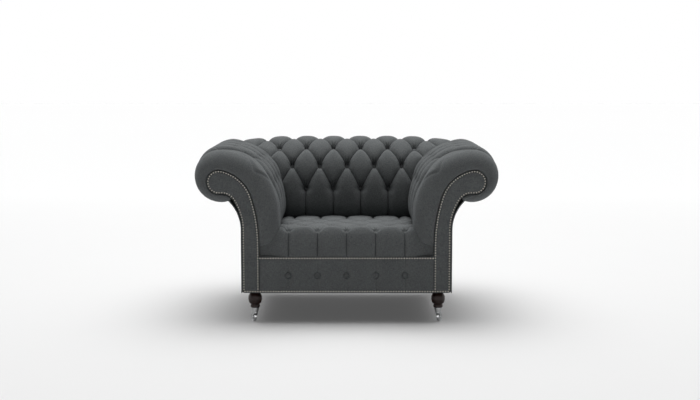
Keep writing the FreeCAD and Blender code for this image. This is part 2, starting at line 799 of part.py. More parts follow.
def seat_tools():
    def place(x, y, depth):
        return FreeCAD.Vector(x, y, seat_top(y) - depth)

    def normal(x, y):
        return FreeCAD.Vector(0, 0, 1)

    tufts = Tufts(place, normal, S.seat_tuft_depth)
    rows = seat_rows()
    half = float(S.seat_tuft_pitch) / 2
    for y, columns in rows:
        for x in columns:
            tufts.dimple(x, y)
    for (near_y, near), (far_y, far) in zip(rows, rows[1:]):
        for x in near:
            for step in (-half, half):
                tufts.diagonal((x, near_y), (x + step, far_y))
    for (near_y, near), (far_y, far) in zip(rows[1::2], rows[::2]):
        for x in (far[0], far[-1]):
            tufts.diagonal((x, far_y), (x + math.copysign(half, x), near_y))
    last_y, last_columns = rows[-1]
    shallow = float(S.pleat_depth)
    rear = float(fullest_across + back_shift)
    for x in last_columns:
        tufts.pleat([(x, last_y, tufts.depth), (x, (last_y + rear) / 2, shallow), (x, rear + 20, shallow)])
    first_y, first_columns = rows[0]
    floor = FreeCAD.Vector(0, float(front + S.seat_setback), 0)
    depth = float(S.pleat_depth) * FRONT_PLEAT_SHARE
    for x in first_columns:
        low = FreeCAD.Vector(x, floor.y + depth, float(S.border_top) - 2)
        high = FreeCAD.Vector(x, floor.y + depth, seat_top(first_y) - float(S.seat_edge_radius) * 0.6)
        tufts.trench(low, high, -ALONG_Y, depth + 4)
    return tufts.tools


def make_seat_pad():
    pad = seat_blank()
    grown = Section(0, S.soft_gap)
    arm_room = arm_length_shape(grown.pad_face(lay_arm(front)))
    back_room = back_length_shape(grown.pad_face(lay_back(0)))
    pad = one_solid(pad.cut([arm_room, mirror(arm_room), back_room]))
    pad = one_solid(pad.cut(seat_tools()))
    feature("seat_pad", pad)


# Buttons

def button_shape(centre, out):
    radius = float(S.button_diameter) / 2 * math.cos(math.pi / BUTTON_SIDES)
    height = float(S.button_height)
    return frustum(radius, radius * BUTTON_TOP, height, centre, out, BUTTON_SIDES)


def row_buttons(section, to_space, rows):
    tufts = curved_tufts(section, to_space)
    buttons = []
    for angle, columns in zip(ROW_ANGLES, rows):
        for along in columns:
            centre = tufts.place(float(along), angle, tufts.depth)
            buttons.append(button_shape(centre, tufts.normal(float(along), angle)))
    return Part.makeCompound(buttons)


def make_buttons():
    section = Section(S.tuft_rise)
    arm = row_buttons(section, arm_space, arm_rows())
    feature("arm_buttons_right", arm)
    feature("arm_buttons_left", mirror(arm))
    feature("back_buttons", row_buttons(section, back_space, back_rows()))
    up = FreeCAD.Vector(0, 0, 1)
    seat = []
    for y, columns in seat_rows():
        for x in columns:
            centre = FreeCAD.Vector(x, y, seat_top(y) - float(S.seat_tuft_depth))
            seat.append(button_shape(centre, up))
    feature("seat_buttons", Part.makeCompound(seat))
    border = [button_shape(FreeCAD.Vector(x, float(facing_front), float(S.border_button_height)), -ALONG_Y)
              for x in seat_rows()[0][1]]
    feature("border_buttons", Part.makeCompound(border))


# Panels, facings and linings that follow the scroll

def make_facings():
    face = scroll_face(lay_arm(facing_front), 0, S.underside_height)
    facing = face.extrude(ALONG_Y * float(S.facing_thickness))
    rim = [edge for edge in facing.Edges
           if abs(edge.BoundBox.YMax - facing_front) < 0.01]
    facing = facing.makeChamfer(float(S.facing_edge), rim)
    feature("arm_facing_right", facing)
    feature("arm_facing_left", mirror(facing))


def make_linings():
    side = float(S.overall_width) * 2
    above = Part.makeBox(side, side, side, FreeCAD.Vector(-side / 2, -side / 2, float(tack_bottom)))
    lay = lay_arm(facing_rear)
    ring = scroll_face(lay, 0, 0).cut(scroll_face(lay, -S.hessian_thickness, -10))
    lining = arm_length_shape(ring).common(above)
    feature("arm_hessian_right", lining)
    feature("arm_hessian_left", mirror(lining))
    lay = lay_back(0)
    ring = scroll_face(lay, 0, 0).cut(scroll_face(lay, -S.hessian_thickness, -10))
    feature("back_hessian", back_length_shape(ring).common(above))


def make_panels():
    lay = lay_arm(facing_front)
    panel = Section(0).panel_face(lay).cut(scroll_face(lay, S.soft_gap, 0))
    panel = one_solid(arm_length_shape(panel))
    feature("outside_arm_panel_right", panel)
    feature("outside_arm_panel_left", mirror(panel))
    lay = lay_back(0)
    panel = Section(S.tuft_rise).panel_face(lay).cut(scroll_face(lay, S.soft_gap, 0))
    feature("outside_back_panel", one_solid(back_length_shape(panel)))


def make_border():
    half = scroll_inner - S.soft_gap
    height = S.border_top - S.underside_height
    border = box("border", half * 2, S.facing_thickness, height, -half, facing_front, S.underside_height)
    keep(border, "front_border")


# Scroll boards and the rails between them

def scroll_board(name, lay, bottom, way):
    outline = doc.addObject("Part::Feature", name + "_outline")
    outline.Shape = scroll_face(lay, -board_inset, bottom)
    board = doc.addObject("Part::Extrusion", name + "_board")
    board.Base = outline
    board.DirMode = "Custom"
    board.Dir = way
    bind(board, "LengthFwd", S.board_thickness)
    board.Solid = True
    keep(board, name)


arm_board_y = scroll_inner + back_shift - S.board_thickness - S.rear_board_gap
back_board_x = scroll_inner - S.board_thickness - S.back_board_gap


def make_boards():
    turned_over = {"right": 1, "left": -1}
    for label, side in turned_over.items():
        lay_front = lambda across, height: FreeCAD.Vector(side * float(across), float(facing_rear), float(height))
        scroll_board("arm_front_board_" + label, lay_front, rail_bottom, ALONG_Y)
        lay_rear = lambda across, height: FreeCAD.Vector(side * float(across), float(arm_board_y), float(height))
        scroll_board("arm_rear_board_" + label, lay_rear, rail_top, ALONG_Y)
        x = side * float(back_board_x)
        scroll_board("back_board_" + label, lay_back(x), rail_top, ALONG_X * side)


def make_inner_rails():
    head_across, head_height = scroll_head()
    side_length = arm_board_y - board_rear
    half = S.top_rail_side / 2
    tack_near = scroll_inner + board_inset
    for label, side in SIDES:
        x = mirrored_x(side, head_across - half, S.top_rail_side)
        keep(box("arm_rail_" + label, S.top_rail_side, side_length, S.top_rail_side,
                 x, board_rear, head_height - half), "arm_top_rail_" + label)
        x = mirrored_x(side, tack_near, S.tack_rail_thickness)
        keep(box("arm_tack_" + label, S.tack_rail_thickness, side_length, S.tack_rail_height,
                 x, board_rear, tack_bottom), "arm_tacking_rail_" + label)
    keep(box("back_rail", back_board_x * 2, S.top_rail_side, S.top_rail_side,
             -back_board_x, head_across + back_shift - half, head_height - half),
         "back_top_rail")
    keep(box("back_tack", back_board_x * 2, S.tack_rail_thickness, S.tack_rail_height,
             -back_board_x, tack_near + back_shift, tack_bottom), "back_tacking_rail")


# Turned pieces

def sketch_in(body, name, role):
    sketch = body.newObject("Sketcher::SketchObject", name)
    plane = [part for part in body.Origin.OriginFeatures if part.Role == role][0]
    sketch.AttachmentSupport = [(plane, "")]
    sketch.MapMode = "FlatFace"
    return sketch


def draw(sketch, corners):
    """A closed outline through corners of (across, up, bulge).

    The bulge is how far the stretch to the next corner stands out to the right of its chord.
    """
    count = len(corners)
    ends = []
    for place in range(count):
        start = FreeCAD.Vector(float(corners[place][0]), float(corners[place][1]), 0)
        after = corners[(place + 1) % count]
        end = FreeCAD.Vector(float(after[0]), float(after[1]), 0)
        bulge = corners[place][2] if len(corners[place]) > 2 else 0
        if bulge:
            run = (end - start).normalize()
            middle = (start + end) / 2 + FreeCAD.Vector(run.y, -run.x, 0) * float(bulge)
            sketch.addGeometry(Part.Arc(start, middle, end))
        else:
            sketch.addGeometry(Part.LineSegment(start, end))
        first = sketch.Geometry[place].StartPoint
        ends.append((1, 2) if first.distanceToPoint(start) < 1e-4 else (2, 1))
    for place in range(count):
        after = (place + 1) % count
        sketch.addConstraint(Sketcher.Constraint("Coincident", place, ends[place][1], after, ends[after][0]))
    for place, corner in enumerate(corners):
        point = ends[place][0]
        for kind, axis, number in (("DistanceX", -2, corner[0]), ("DistanceY", -1, corner[1])):
            if float(number) == 0:
                sketch.addConstraint(Sketcher.Constraint("PointOnObject", place, point, axis))
                continue
            index = sketch.addConstraint(Sketcher.Constraint(kind, -1, 1, place, point, float(number)))
            if isinstance(number, Size):
                sketch.setExpression("Constraints[%d]" % index, number.text)
        if len(corner) > 2 and corner[2]:
            radius = sketch.Geometry[place].Radius
            index = sketch.addConstraint(Sketcher.Constraint("Radius", place, radius))
            after = corners[(place + 1) % count]
            across = after[0] - corner[0]
            up = after[1] - corner[1]
            bulge = corner[2] if corner[2] > 0 else -corner[2]
            chord = across * across + up * up
            wanted = chord / (8 * bulge) + bulge / 2
            if isinstance(wanted, Size):
                sketch.setExpression("Constraints[%d]" % index, wanted.text)


def turned(name, corners):
    body = doc.addObject("PartDesign::Body", name)
    sketch = sketch_in(body, name + "_outline", "XZ_Plane")
    draw(sketch, corners)
    spin = body.newObject("PartDesign::Revolution", name + "_turning")
    spin.Profile = sketch
    spin.ReferenceAxis = (sketch, ["V_Axis"])
    spin.Angle = 360
    sketch.Visibility = False
    return body


def make_front_legs():
    tenon = S.leg_tenon_diameter / 2
    ring = S.leg_ring_diameter / 2
    waist = S.leg_waist_diameter / 2
    bulb = S.leg_bulb_diameter / 2
    top = S.leg_top_diameter / 2
    bolt = S.leg_bolt_diameter / 2
    edge = S.leg_ring_edge
    swell = S.leg_swell_diameter / 2
    shoulder = S.leg_shoulder_diameter / 2
    belly = S.leg_bulb_length / 2
    for label, side in SIDES:
        corners = [
            (0, S.leg_ring_height - S.leg_tenon_length),
            (tenon, S.leg_ring_height - S.leg_tenon_length),
            (tenon, S.leg_ring_height),
            (ring - edge, S.leg_ring_height),
            (ring, S.leg_ring_height + edge),
            (ring, S.leg_ring_height + S.leg_ring_thickness),
            (waist, S.leg_waist_height),
            (swell, S.leg_swell_height),
            (bulb, S.leg_bulb_height - belly),
            (bulb, S.leg_bulb_height + belly),
            (shoulder, S.leg_shoulder_height),
            (top, S.underside_height),
            (bolt, S.underside_height),
            (bolt, bolt_bottom),
            (0, bolt_bottom),
        ]
        leg = turned("front_leg_body_" + label, corners)
        stand_at(leg, side * front_leg_across, front_leg_y, 0)
        keep(leg, "front_leg_" + label)


def make_rear_legs():
    top = S.rear_leg_top / 2
    foot = S.rear_leg_foot / 2
    for label, side in SIDES:
        wedge = doc.addObject("Part::Wedge", "rear_leg_wedge_" + label)
        for place, number in (("Xmin", -foot), ("Xmax", foot), ("Ymin", 0),
                              ("Ymax", S.underside_height - S.glide_height),
                              ("Zmin", -foot - S.rear_leg_rake), ("Zmax", foot - S.rear_leg_rake),
                              ("X2min", -top), ("X2max", top), ("Z2min", -top), ("Z2max", top)):
            bind(wedge, place, number)
        wedge.Placement = FreeCAD.Placement(FreeCAD.Vector(0, 0, 0),
                                            FreeCAD.Rotation(FreeCAD.Vector(1, 0, 0), 90))
        stand_at(wedge, side * rear_leg_across, rear_leg_y, S.glide_height)
        bore = leg_bore("rear_leg_bore_" + label, side, rear_leg_y, rear_leg_across)
        keep(cut("bored_rear_leg_" + label, wedge, bore), "rear_leg_" + label)
        keep(cylinder("glide_" + label, S.glide_diameter, S.glide_height,
                      side * rear_leg_across, rear_leg_y + S.rear_leg_rake, 0), "rear_glide_" + label)


def make_bolts():
    for name, y, across in (("front_leg_bolts", front_leg_y, front_leg_across),
                            ("rear_leg_bolts", rear_leg_y, rear_leg_across)):
        bolts = [leg_bore("%s_%s" % (name, label), side, y, across) for label, side in SIDES]
        keep(group(name + "_pair", bolts), name)


def make_cups():
    outer = S.cup_top_diameter / 2
    lower = S.cup_bottom_diameter / 2
    pin = S.kingpin_diameter / 2 + S.running_gap
    tenon = S.leg_tenon_diameter / 2
    shelf = S.cup_bottom + S.cup_floor
    for label, side in SIDES:
        corners = [
            (pin, S.cup_bottom),
            (lower - S.cup_lip, S.cup_bottom),
            (lower, S.cup_bottom + S.cup_lip),
            (outer, S.leg_ring_height),
            (tenon, S.leg_ring_height),
            (tenon, shelf),
            (pin, shelf),
        ]
        cup = turned("cup_body_" + label, corners)
        stand_at(cup, side * front_leg_across, front_leg_y, 0)
        keep(cup, "caster_cup_" + label)


fork_top = S.cup_bottom - S.swivel_gap
plate_bottom = fork_top - S.fork_plate
axle_height = S.wheel_diameter / 2
fork_slot = S.wheel_width + S.fork_side_gap * 2
fork_width = fork_slot + S.fork_wall * 2


def turn_castor(thing, side, tilt=None):
    """Stands a castor piece at its leg and turns it about the swivel axis."""
    angle = S.castor_turn if side > 0 else 180 - S.castor_turn
    thing.Placement = FreeCAD.Placement(FreeCAD.Vector(0, 0, 0),
                                        FreeCAD.Rotation(FreeCAD.Vector(0, 0, 1), float(angle)))
    bind(thing, "Placement.Rotation.Angle", angle)
    stand_at(thing, side * front_leg_across, front_leg_y, 0)


def make_fork(label, side):
    plate = S.fork_plate_diameter / 2
    pin = S.kingpin_diameter / 2
    body = turned("fork_body_" + label, [
        (0, plate_bottom),
        (plate, plate_bottom),
        (plate, fork_top),
        (pin, fork_top),
        (pin, fork_top + S.kingpin_length),
        (0, fork_top + S.kingpin_length),
    ])
    arms = sketch_in(body, "fork_arms_" + label, "XZ_Plane")
    eye = S.fork_eye_radius
    draw(arms, [
        (-plate * 0.7, fork_top),
        (S.castor_trail - eye, axle_height, eye * 0.2929),
        (S.castor_trail, axle_height - eye, eye * 0.2929),
        (S.castor_trail + eye, axle_height),
        (plate * 0.9, fork_top),
    ])
    pad = body.newObject("PartDesign::Pad", "fork_pad_" + label)
    pad.Profile = arms
    pad.Midplane = True
    bind(pad, "Length", fork_width)
    slot = sketch_in(body, "fork_slot_" + label, "XZ_Plane")
    room = S.castor_trail + S.wheel_diameter
    draw(slot, [(-S.wheel_diameter, 0), (room, 0), (room, plate_bottom), (-S.wheel_diameter, plate_bottom)])
    pocket = body.newObject("PartDesign::Pocket", "fork_pocket_" + label)
    pocket.Profile = slot
    pocket.Midplane = True
    bind(pocket, "Length", fork_slot)
    eyes = sketch_in(body, "fork_eyes_" + label, "XZ_Plane")
    centre = FreeCAD.Vector(float(S.castor_trail), float(axle_height), 0)
    eyes.addGeometry(Part.Circle(centre, FreeCAD.Vector(0, 0, 1), float(S.axle_diameter) / 2))
    for kind, number in (("DistanceX", S.castor_trail), ("DistanceY", axle_height)):
        index = eyes.addConstraint(Sketcher.Constraint(kind, -1, 1, 0, 3, float(number)))
        eyes.setExpression("Constraints[%d]" % index, number.text)
    index = eyes.addConstraint(Sketcher.Constraint("Diameter", 0, float(S.axle_diameter)))
    eyes.setExpression("Constraints[%d]" % index, S.axle_diameter.text)
    bore = body.newObject("PartDesign::Pocket", "fork_bore_" + label)
    bore.Profile = eyes
    bore.Midplane = True
    bind(bore, "Length", fork_width * 2)
    turn_castor(body, side)
    keep(body, "caster_fork_" + label)


def lying(name, corners, side, start):
    """A turned piece whose axis lies along the castor's axle, from start outward."""
    body = turned(name, corners)
    angle = float(S.castor_turn) if side > 0 else 180 - float(S.castor_turn)
    turn = FreeCAD.Rotation(FreeCAD.Vector(0, 0, 1), angle)
    lay = turn.multiply(FreeCAD.Rotation(FreeCAD.Vector(1, 0, 0), -90))
    shift = turn.multVec(FreeCAD.Vector(float(S.castor_trail), float(start), float(axle_height)))
    body.Placement = FreeCAD.Placement(shift, lay)
    cosine = "cos(%s * 1deg)" % S.castor_turn.text
    sine = "sin(%s * 1deg)" % S.castor_turn.text
    trail = S.castor_trail.text
    begin = text_of(start)
    hand = "1" if side > 0 else "-1"
    body.setExpression("Placement.Base.x", "%s * %s + %s * (%s * %s) - %s * %s"
                       % (hand, front_leg_across.text, hand, trail, cosine, begin, sine))
    body.setExpression("Placement.Base.y", "%s + %s * %s + %s * (%s * %s)"
                       % (front_leg_y.text, trail, sine, hand, begin, cosine))
    bind(body, "Placement.Base.z", axle_height)
    return body


def make_axle(label, side):
    half = fork_width / 2
    pin = S.axle_diameter / 2
    head = pin + S.axle_head
    full = fork_width + S.axle_head * 2
    axle = lying("axle_body_" + label, [
        (0, 0),
        (head - 0.5, 0),
        (head, S.axle_head),
        (pin, S.axle_head),
        (pin, full - S.axle_head),
        (head, full - S.axle_head),
        (head - 0.5, full),
        (0, full),
    ], side, -half - S.axle_head)
    keep(axle, "caster_axle_" + label)


def make_wheel(label, side):
    bore = S.axle_diameter / 2 + S.running_gap
    hub = S.wheel_hub_diameter / 2
    rim = S.wheel_diameter / 2
    inner = rim - S.wheel_rim_depth
    edge = S.wheel_width * 0.08
    crown = S.wheel_width * 0.2
    wheel = lying("wheel_body_" + label, [
        (bore, 0),
        (hub, 0),
        (hub, S.wheel_recess),
        (inner, S.wheel_recess),
        (inner, edge),
        (rim - edge * 2, edge),
        (rim, crown),
        (rim, S.wheel_width - crown),
        (rim - edge * 2, S.wheel_width - edge),
        (inner, S.wheel_width - edge),
        (inner, S.wheel_width - S.wheel_recess),
        (hub, S.wheel_width - S.wheel_recess),
        (hub, S.wheel_width),
        (bore, S.wheel_width),
    ], side, -S.wheel_width / 2)
    keep(wheel, "caster_wheel_" + label)


def make_castors():
    make_cups()
    for label, side in SIDES:
        make_fork(label, side)
        make_axle(label, side)
        make_wheel(label, side)


def check_and_write():
    doc.recompute()
    for thing in doc.Objects:
        if "Invalid" in thing.State or "Error" in thing.State:
            raise RuntimeError("%s did not build: %s" % (thing.Label, thing.State))
    for piece in parts:
        if piece.Shape.isNull() or not piece.Shape.isValid():
            raise RuntimeError("%s has no sound shape" % piece.Label)
    os.makedirs("parts", exist_ok=True)
    for piece in parts:
        piece.Shape.exportStep("parts/%s.step" % piece.Label)


make_rails()
make_webbing()
make_dust_cover()
make_boards()
make_inner_rails()
make_linings()
make_facings()
make_panels()
make_border()
make_arm_pads()
make_back_pad()
make_seat_pad()
make_buttons()
make_front_legs()
make_rear_legs()
make_bolts()
make_castors()
check_and_write()
print("%d pieces written" % len(parts))
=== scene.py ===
import math

import bmesh
import bpy
import numpy as np
from bpy.props import FloatProperty, FloatVectorProperty, IntProperty, PointerProperty
from mathutils import Matrix, Vector


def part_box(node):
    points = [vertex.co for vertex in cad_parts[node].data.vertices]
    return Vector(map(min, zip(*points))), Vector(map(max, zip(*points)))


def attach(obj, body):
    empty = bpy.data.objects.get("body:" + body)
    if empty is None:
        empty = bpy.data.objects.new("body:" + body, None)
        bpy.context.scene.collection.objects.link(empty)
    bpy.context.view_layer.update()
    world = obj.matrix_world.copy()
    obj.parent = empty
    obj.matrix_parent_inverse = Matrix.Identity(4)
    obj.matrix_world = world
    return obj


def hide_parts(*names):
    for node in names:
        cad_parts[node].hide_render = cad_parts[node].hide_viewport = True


bl_info = {
    "name": "Buttoned scroll armchair",
    "version": (1, 0, 0),
    "blender": (4, 5, 0),
    "location": "View3D > Sidebar > Armchair",
    "description": "Upholstery, trim, legs and castors of a deep-buttoned scroll armchair over its packed frame",
    "category": "Add Mesh",
}

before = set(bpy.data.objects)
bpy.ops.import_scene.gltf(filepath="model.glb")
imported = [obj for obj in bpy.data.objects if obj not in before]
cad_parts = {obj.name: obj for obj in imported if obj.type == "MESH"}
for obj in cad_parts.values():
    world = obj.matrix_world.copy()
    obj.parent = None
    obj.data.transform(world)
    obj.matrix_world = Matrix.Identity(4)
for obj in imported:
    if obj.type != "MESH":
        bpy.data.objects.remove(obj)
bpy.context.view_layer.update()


def front_of(name):
    """How far forward a CAD piece reaches."""
    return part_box(name)[0][1]


FRONT = front_of("arm_pad_right")
SEAT_FRONT = FRONT + 0.006
SIDES = (("left", -1), ("right", 1))

# The four rows of buttons, as the way the surface faces: 90 is straight up, 0 is level
ROW_ANGLES = (90, 60, 30, 10)
FOOT_ANGLE = -73.17

# Buttons in each row, from the crest down on the arms and the back, and from front to rear on the seat
ARM_ROWS = (6, 5, 4, 4)
BACK_ROWS = (7, 6, 5, 4)
SEAT_ROWS = (5, 4, 5, 4, 5)
ROLL_PLEATS = 9
BORDER_COLUMNS = range(-2, 3)
BORDER_BUTTON_HEIGHT = 0.205
BUTTON_DOME = 0.005

# Thickness of the cloth with its lining
PAD_CLOTH = 0.003
PANEL_CLOTH = 0.004

# The notch in the front of an arm: the way the surface faces there, and how far it reaches either side
NOTCH_ANGLE = 44
NOTCH_SPAN = 19


def tone(name, colour, description):
    return FloatVectorProperty(name=name, description=description, subtype="COLOR", size=3,
                               min=0, max=1, default=colour)


def length(name, metres, description):
    return FloatProperty(name=name, description=description, unit="LENGTH", min=0, default=metres)


class ChairShape(bpy.types.PropertyGroup):
    roll_radius: length("Roll radius", 0.108, "Outside of the upholstered arm roll")
    roll_height: length("Roll height", 0.614, "Floor to the axis of the arm roll")
    roll_across: length("Roll across", 0.522, "Middle of the chair to the axis of the arm roll")
    crest_radius: length("Crest radius", 0.228, "Inner slope of the arm next to its crest")
    pad_line: length("Pad line", 0.281, "Middle of the chair to the fullest part of the arm")
    pad_height: length("Pad height", 0.440, "Floor to the fullest part of the arm")
    tuck_radius: length("Tuck radius", 0.114, "Lower edge of the arm where it meets the seat")
    back_shift: length("Back shift", 0.165, "How much nearer the middle the back stands than the arms")
    corner_across: length("Corner across", 0.520, "Middle of the chair to the centre of a rounded rear corner")
    corner_rear: length("Corner rear", 0.355, "The same centre behind the middle of the chair")
    scroll_inner: length("Scroll inner", 0.362, "Middle of the chair to the inner edge of the facing")
    scroll_outer: length("Scroll outer", 0.432, "Middle of the chair to the outer edge of the facing")
    panel_line: length("Panel line", 0.437, "Middle of the chair to the outside panel")
    underside: length("Underside", 0.131, "Floor to the underside of the frame")
    border_top: length("Border top", 0.283, "Floor to the top of the front border")
    seat_front: length("Seat front", 0.406, "Floor to the seat crown at the front")
    seat_rear: length("Seat rear", 0.372, "Floor to the seat crown at the back")


class TuftShape(bpy.types.PropertyGroup):
    pitch: length("Button pitch", 0.127, "From button to button along a row of the back and the arms")
    first: length("First pleat", 0.110, "Front of the arms to the first row of pleats")
    rise: length("Tuft rise", 0.012, "Tufted crests above the plain front border of the arms")
    button_depth: length("Button depth", 0.034, "Buttons below the crowns of the back and the arms")
    pleat_depth: length("Pleat depth", 0.014, "Pleats below the crowns, halfway between buttons")
    roll_pleat_depth: length("Roll pleat depth", 0.013, "Pleats over the roll below its crowns")
    button_width: length("Button width", 0.021, "Covered buttons")
    seat_pitch: length("Seat pitch", 0.121, "From button to button along a row of the seat")
    seat_row: length("Seat row", 0.107, "From row to row of the seat")
    seat_button_depth: length("Seat button depth", 0.020, "Buttons below the crowns of the seat")
    seat_edge_depth: length("Seat edge depth", 0.035, "How far back the seat's front edge is rounded")
    seat_edge_height: length("Seat edge height", 0.078, "How far down the seat's front edge is rounded")
    seat_first_turn: FloatProperty(name="Seat first turn", description="Where the first row lies on the front edge",
                                   subtype="ANGLE", min=0, max=math.pi / 2, default=math.radians(74))
    seat_pleat_depth: length("Seat pleat depth", 0.010, "Pleats below the crowns of the seat")
    mitre_depth: length("Mitre depth", 0.010, "Seams between arms and back below the crowns")
    corner_dip: length("Corner dip", 0.020, "How far the crests sink towards the rear corners")
    reach: length("Reach", 0.013, "How far from a pleat the stuffing is back at its level")
    fullness: FloatProperty(name="Fullness", description="How hard the stuffing lifts the cover",
                            min=0, default=12.0)
    steps: IntProperty(name="Steps", description="Faces from a button to the next pleat", min=6, max=24, default=18)


class TrimShape(bpy.types.PropertyGroup):
    nail_width: length("Nail width", 0.0066, "Heads of the decorative nails")
    nail_pitch: length("Nail pitch", 0.0108, "From nail to nail")
    nail_inset: length("Nail inset", 0.006, "Edge of a facing to its line of nails")


class Finishes(bpy.types.PropertyGroup):
    cloth: tone("Cloth", (0.086, 0.092, 0.094), "Charcoal woven cover")
    cloth_light: tone("Cloth light", (0.205, 0.216, 0.217), "Lighter fibres of the cover")
    leg_wood: tone("Leg wood", (0.022, 0.0065, 0.0038), "Dark polished legs")
    frame_wood: tone("Frame wood", (0.46, 0.30, 0.16), "Beech of the hidden frame")
    nail: tone("Nails", (0.80, 0.76, 0.68), "Pale pewter nail heads")
    chrome: tone("Castors", (0.80, 0.81, 0.82), "Polished castors")
    floor: tone("Floor", (0.70, 0.70, 0.70), "Pale floor")


def shape():
    return bpy.context.scene.chair_shape


def tufts():
    return bpy.context.scene.chair_tufts


def trim():
    return bpy.context.scene.chair_trim


def finishes():
    return bpy.context.scene.chair_finishes


# Shader maths

class Value:
    """An output socket that can be used in sums."""

    def __init__(self, tree, socket):
        self.tree = tree
        self.socket = socket

    def maths(self, operation, first, second):
        node = self.tree.nodes.new("ShaderNodeMath")
        node.operation = operation
        for place, item in enumerate((first, second)):
            if isinstance(item, Value):
                self.tree.links.new(item.socket, node.inputs[place])
            else:
                node.inputs[place].default_value = float(item)
        return Value(self.tree, node.outputs[0])

    def __add__(self, other):
        return self.maths("ADD", self, other)

    def __radd__(self, other):
        return self.maths("ADD", other, self)

    def __sub__(self, other):
        return self.maths("SUBTRACT", self, other)

    def __rsub__(self, other):
        return self.maths("SUBTRACT", other, self)

    def __mul__(self, other):
        return self.maths("MULTIPLY", self, other)

    def __rmul__(self, other):
        return self.maths("MULTIPLY", other, self)

    def __pow__(self, other):
        return self.maths("POWER", self, other)

    def smaller(self, other):
        return self.maths("MINIMUM", self, other)

    def larger(self, other):
        return self.maths("MAXIMUM", self, other)

    def sine(self):
        return self.maths("SINE", self, 0)


class Finish:
    """A material of nodes, with its shader under the name shader."""

    def __init__(self, name):
        self.material = bpy.data.materials.new(name)
        self.material.use_nodes = True
        self.tree = self.material.node_tree
        self.tree.nodes.clear()
        self.shader = self.tree.nodes.new("ShaderNodeBsdfPrincipled")
        output = self.tree.nodes.new("ShaderNodeOutputMaterial")
        self.tree.links.new(self.shader.outputs[0], output.inputs["Surface"])

    def node(self, kind, settings=None, output=0, **inputs):
        """A node with its settings, and the values or links of its inputs; spaces in names are written as _."""
        node = self.tree.nodes.new(kind)
        for name, setting in (settings or {}).items():
            setattr(node, name, setting)
        for name, item in inputs.items():
            self.feed(node.inputs[self.input_name(node, name)], item)
        return Value(self.tree, node.outputs[output])

    def input_name(self, node, name):
        if name.startswith("at_"):
            return int(name[3:])
        return name.replace("_", " ")

    def feed(self, socket, item):
        if isinstance(item, Value):
            self.tree.links.new(item.socket, socket)
        elif hasattr(socket.default_value, "__len__") and len(socket.default_value) == 4:
            socket.default_value = (*item, 1)
        else:
            socket.default_value = item

    def set(self, **inputs):
        for name, item in inputs.items():
            self.feed(self.shader.inputs[name.replace("_", " ")], item)

    def place(self, scale=(1, 1, 1), uv=False):
        """Where a point lies, in metres times scale, on the object or on its laid-out cloth."""
        if uv:
            source = self.node("ShaderNodeUVMap", {"uv_map": "Cloth"})
        else:
            source = self.node("ShaderNodeTexCoord", output="Object")
        return self.node("ShaderNodeMapping", Vector=source, Scale=scale)

    def noise(self, place, scale, detail=4.0, roughness=0.55):
        return self.node("ShaderNodeTexNoise", Vector=place, Scale=scale, Detail=detail, Roughness=roughness)

    def mix(self, share, first, second):
        return self.node("ShaderNodeMix", {"data_type": "RGBA"}, output=2, at_0=share, at_6=first, at_7=second)

    def bump(self, height, distance, strength=1.0, under=None):
        inputs = {"Height": height, "Distance": distance, "Strength": strength}
        if under is not None:
            inputs["Normal"] = under
        return self.node("ShaderNodeBump", **inputs)


def woven_cloth(name, uv, dark=1.0, folds=False):
    """Wool-like plain weave, with lighter fibres, slubs and a soft nap; with folds, painted shade darkens the
    hollows of the gathers round the buttons and the pleat creases.
    """
    finish = Finish(name)
    place = finish.place(uv=uv)
    parts = finish.node("ShaderNodeSeparateXYZ", Vector=place)
    across = parts
    up = Value(finish.tree, parts.socket.node.outputs[1 if uv else 2])
    if not uv:
        side = Value(finish.tree, parts.socket.node.outputs[1])
        across = parts + side
    thread = 2 * math.pi / 0.0022
    wander = finish.noise(place, 90, 2.0)
    warp = (across * thread + wander * 6).sine()
    weft = (up * thread + wander * 6).sine()
    weave = warp * weft * 0.5 + 0.5
    level = finish.node("ShaderNodeMapping", Vector=place, Scale=(1, 7, 1) if uv else (1, 1, 7))
    upright = finish.node("ShaderNodeMapping", Vector=place, Scale=(7, 1, 1) if uv else (7, 7, 1))
    slub = (finish.noise(level, 75, 3.0) + finish.noise(upright, 75, 3.0)) * 0.5
    mottle = finish.noise(place, 210, 4.0, 0.7)
    cloud = finish.noise(place, 14, 2.0)
    share = (mottle * 1.2 + slub * 1.8 + weave * 0.25 + cloud * 0.3 - 1.4).larger(0).smaller(1)
    base = tuple(channel * dark for channel in finishes().cloth)
    light = tuple(channel * dark for channel in finishes().cloth_light)
    colour = finish.mix(share, base, light)
    relief = finish.bump(weave * 0.6 + mottle * 0.5 + slub * 0.3, 0.0006, 0.8)
    if folds:
        turn = finish.node("ShaderNodeAttribute", {"attribute_name": "fold_angle"}, output=2)
        strength = finish.node("ShaderNodeAttribute", {"attribute_name": "fold_strength"}, output=2)
        gather = (turn * 15 + cloud * 3).sine() * strength
        crease = finish.node("ShaderNodeAttribute", {"attribute_name": "crease"}, output=2)
        # Painted shade: the colour is pulled towards near-black in the hollows of the gathers round the buttons and
        # along the pleat creases
        painted_shade = (gather * -0.30 + 0.10 * strength).larger(0) + crease * crease * 0.75
        colour = finish.mix(painted_shade.smaller(0.85), colour, (0.010, 0.011, 0.012))
        relief = finish.bump(gather, 0.0025, 1.0, relief)
    finish.set(Base_Color=colour, Roughness=0.92, Specular_IOR_Level=0.15, Normal=relief,
               Sheen_Weight=0.10, Sheen_Roughness=0.6, Sheen_Tint=(0.75, 0.79, 0.83))
    return finish


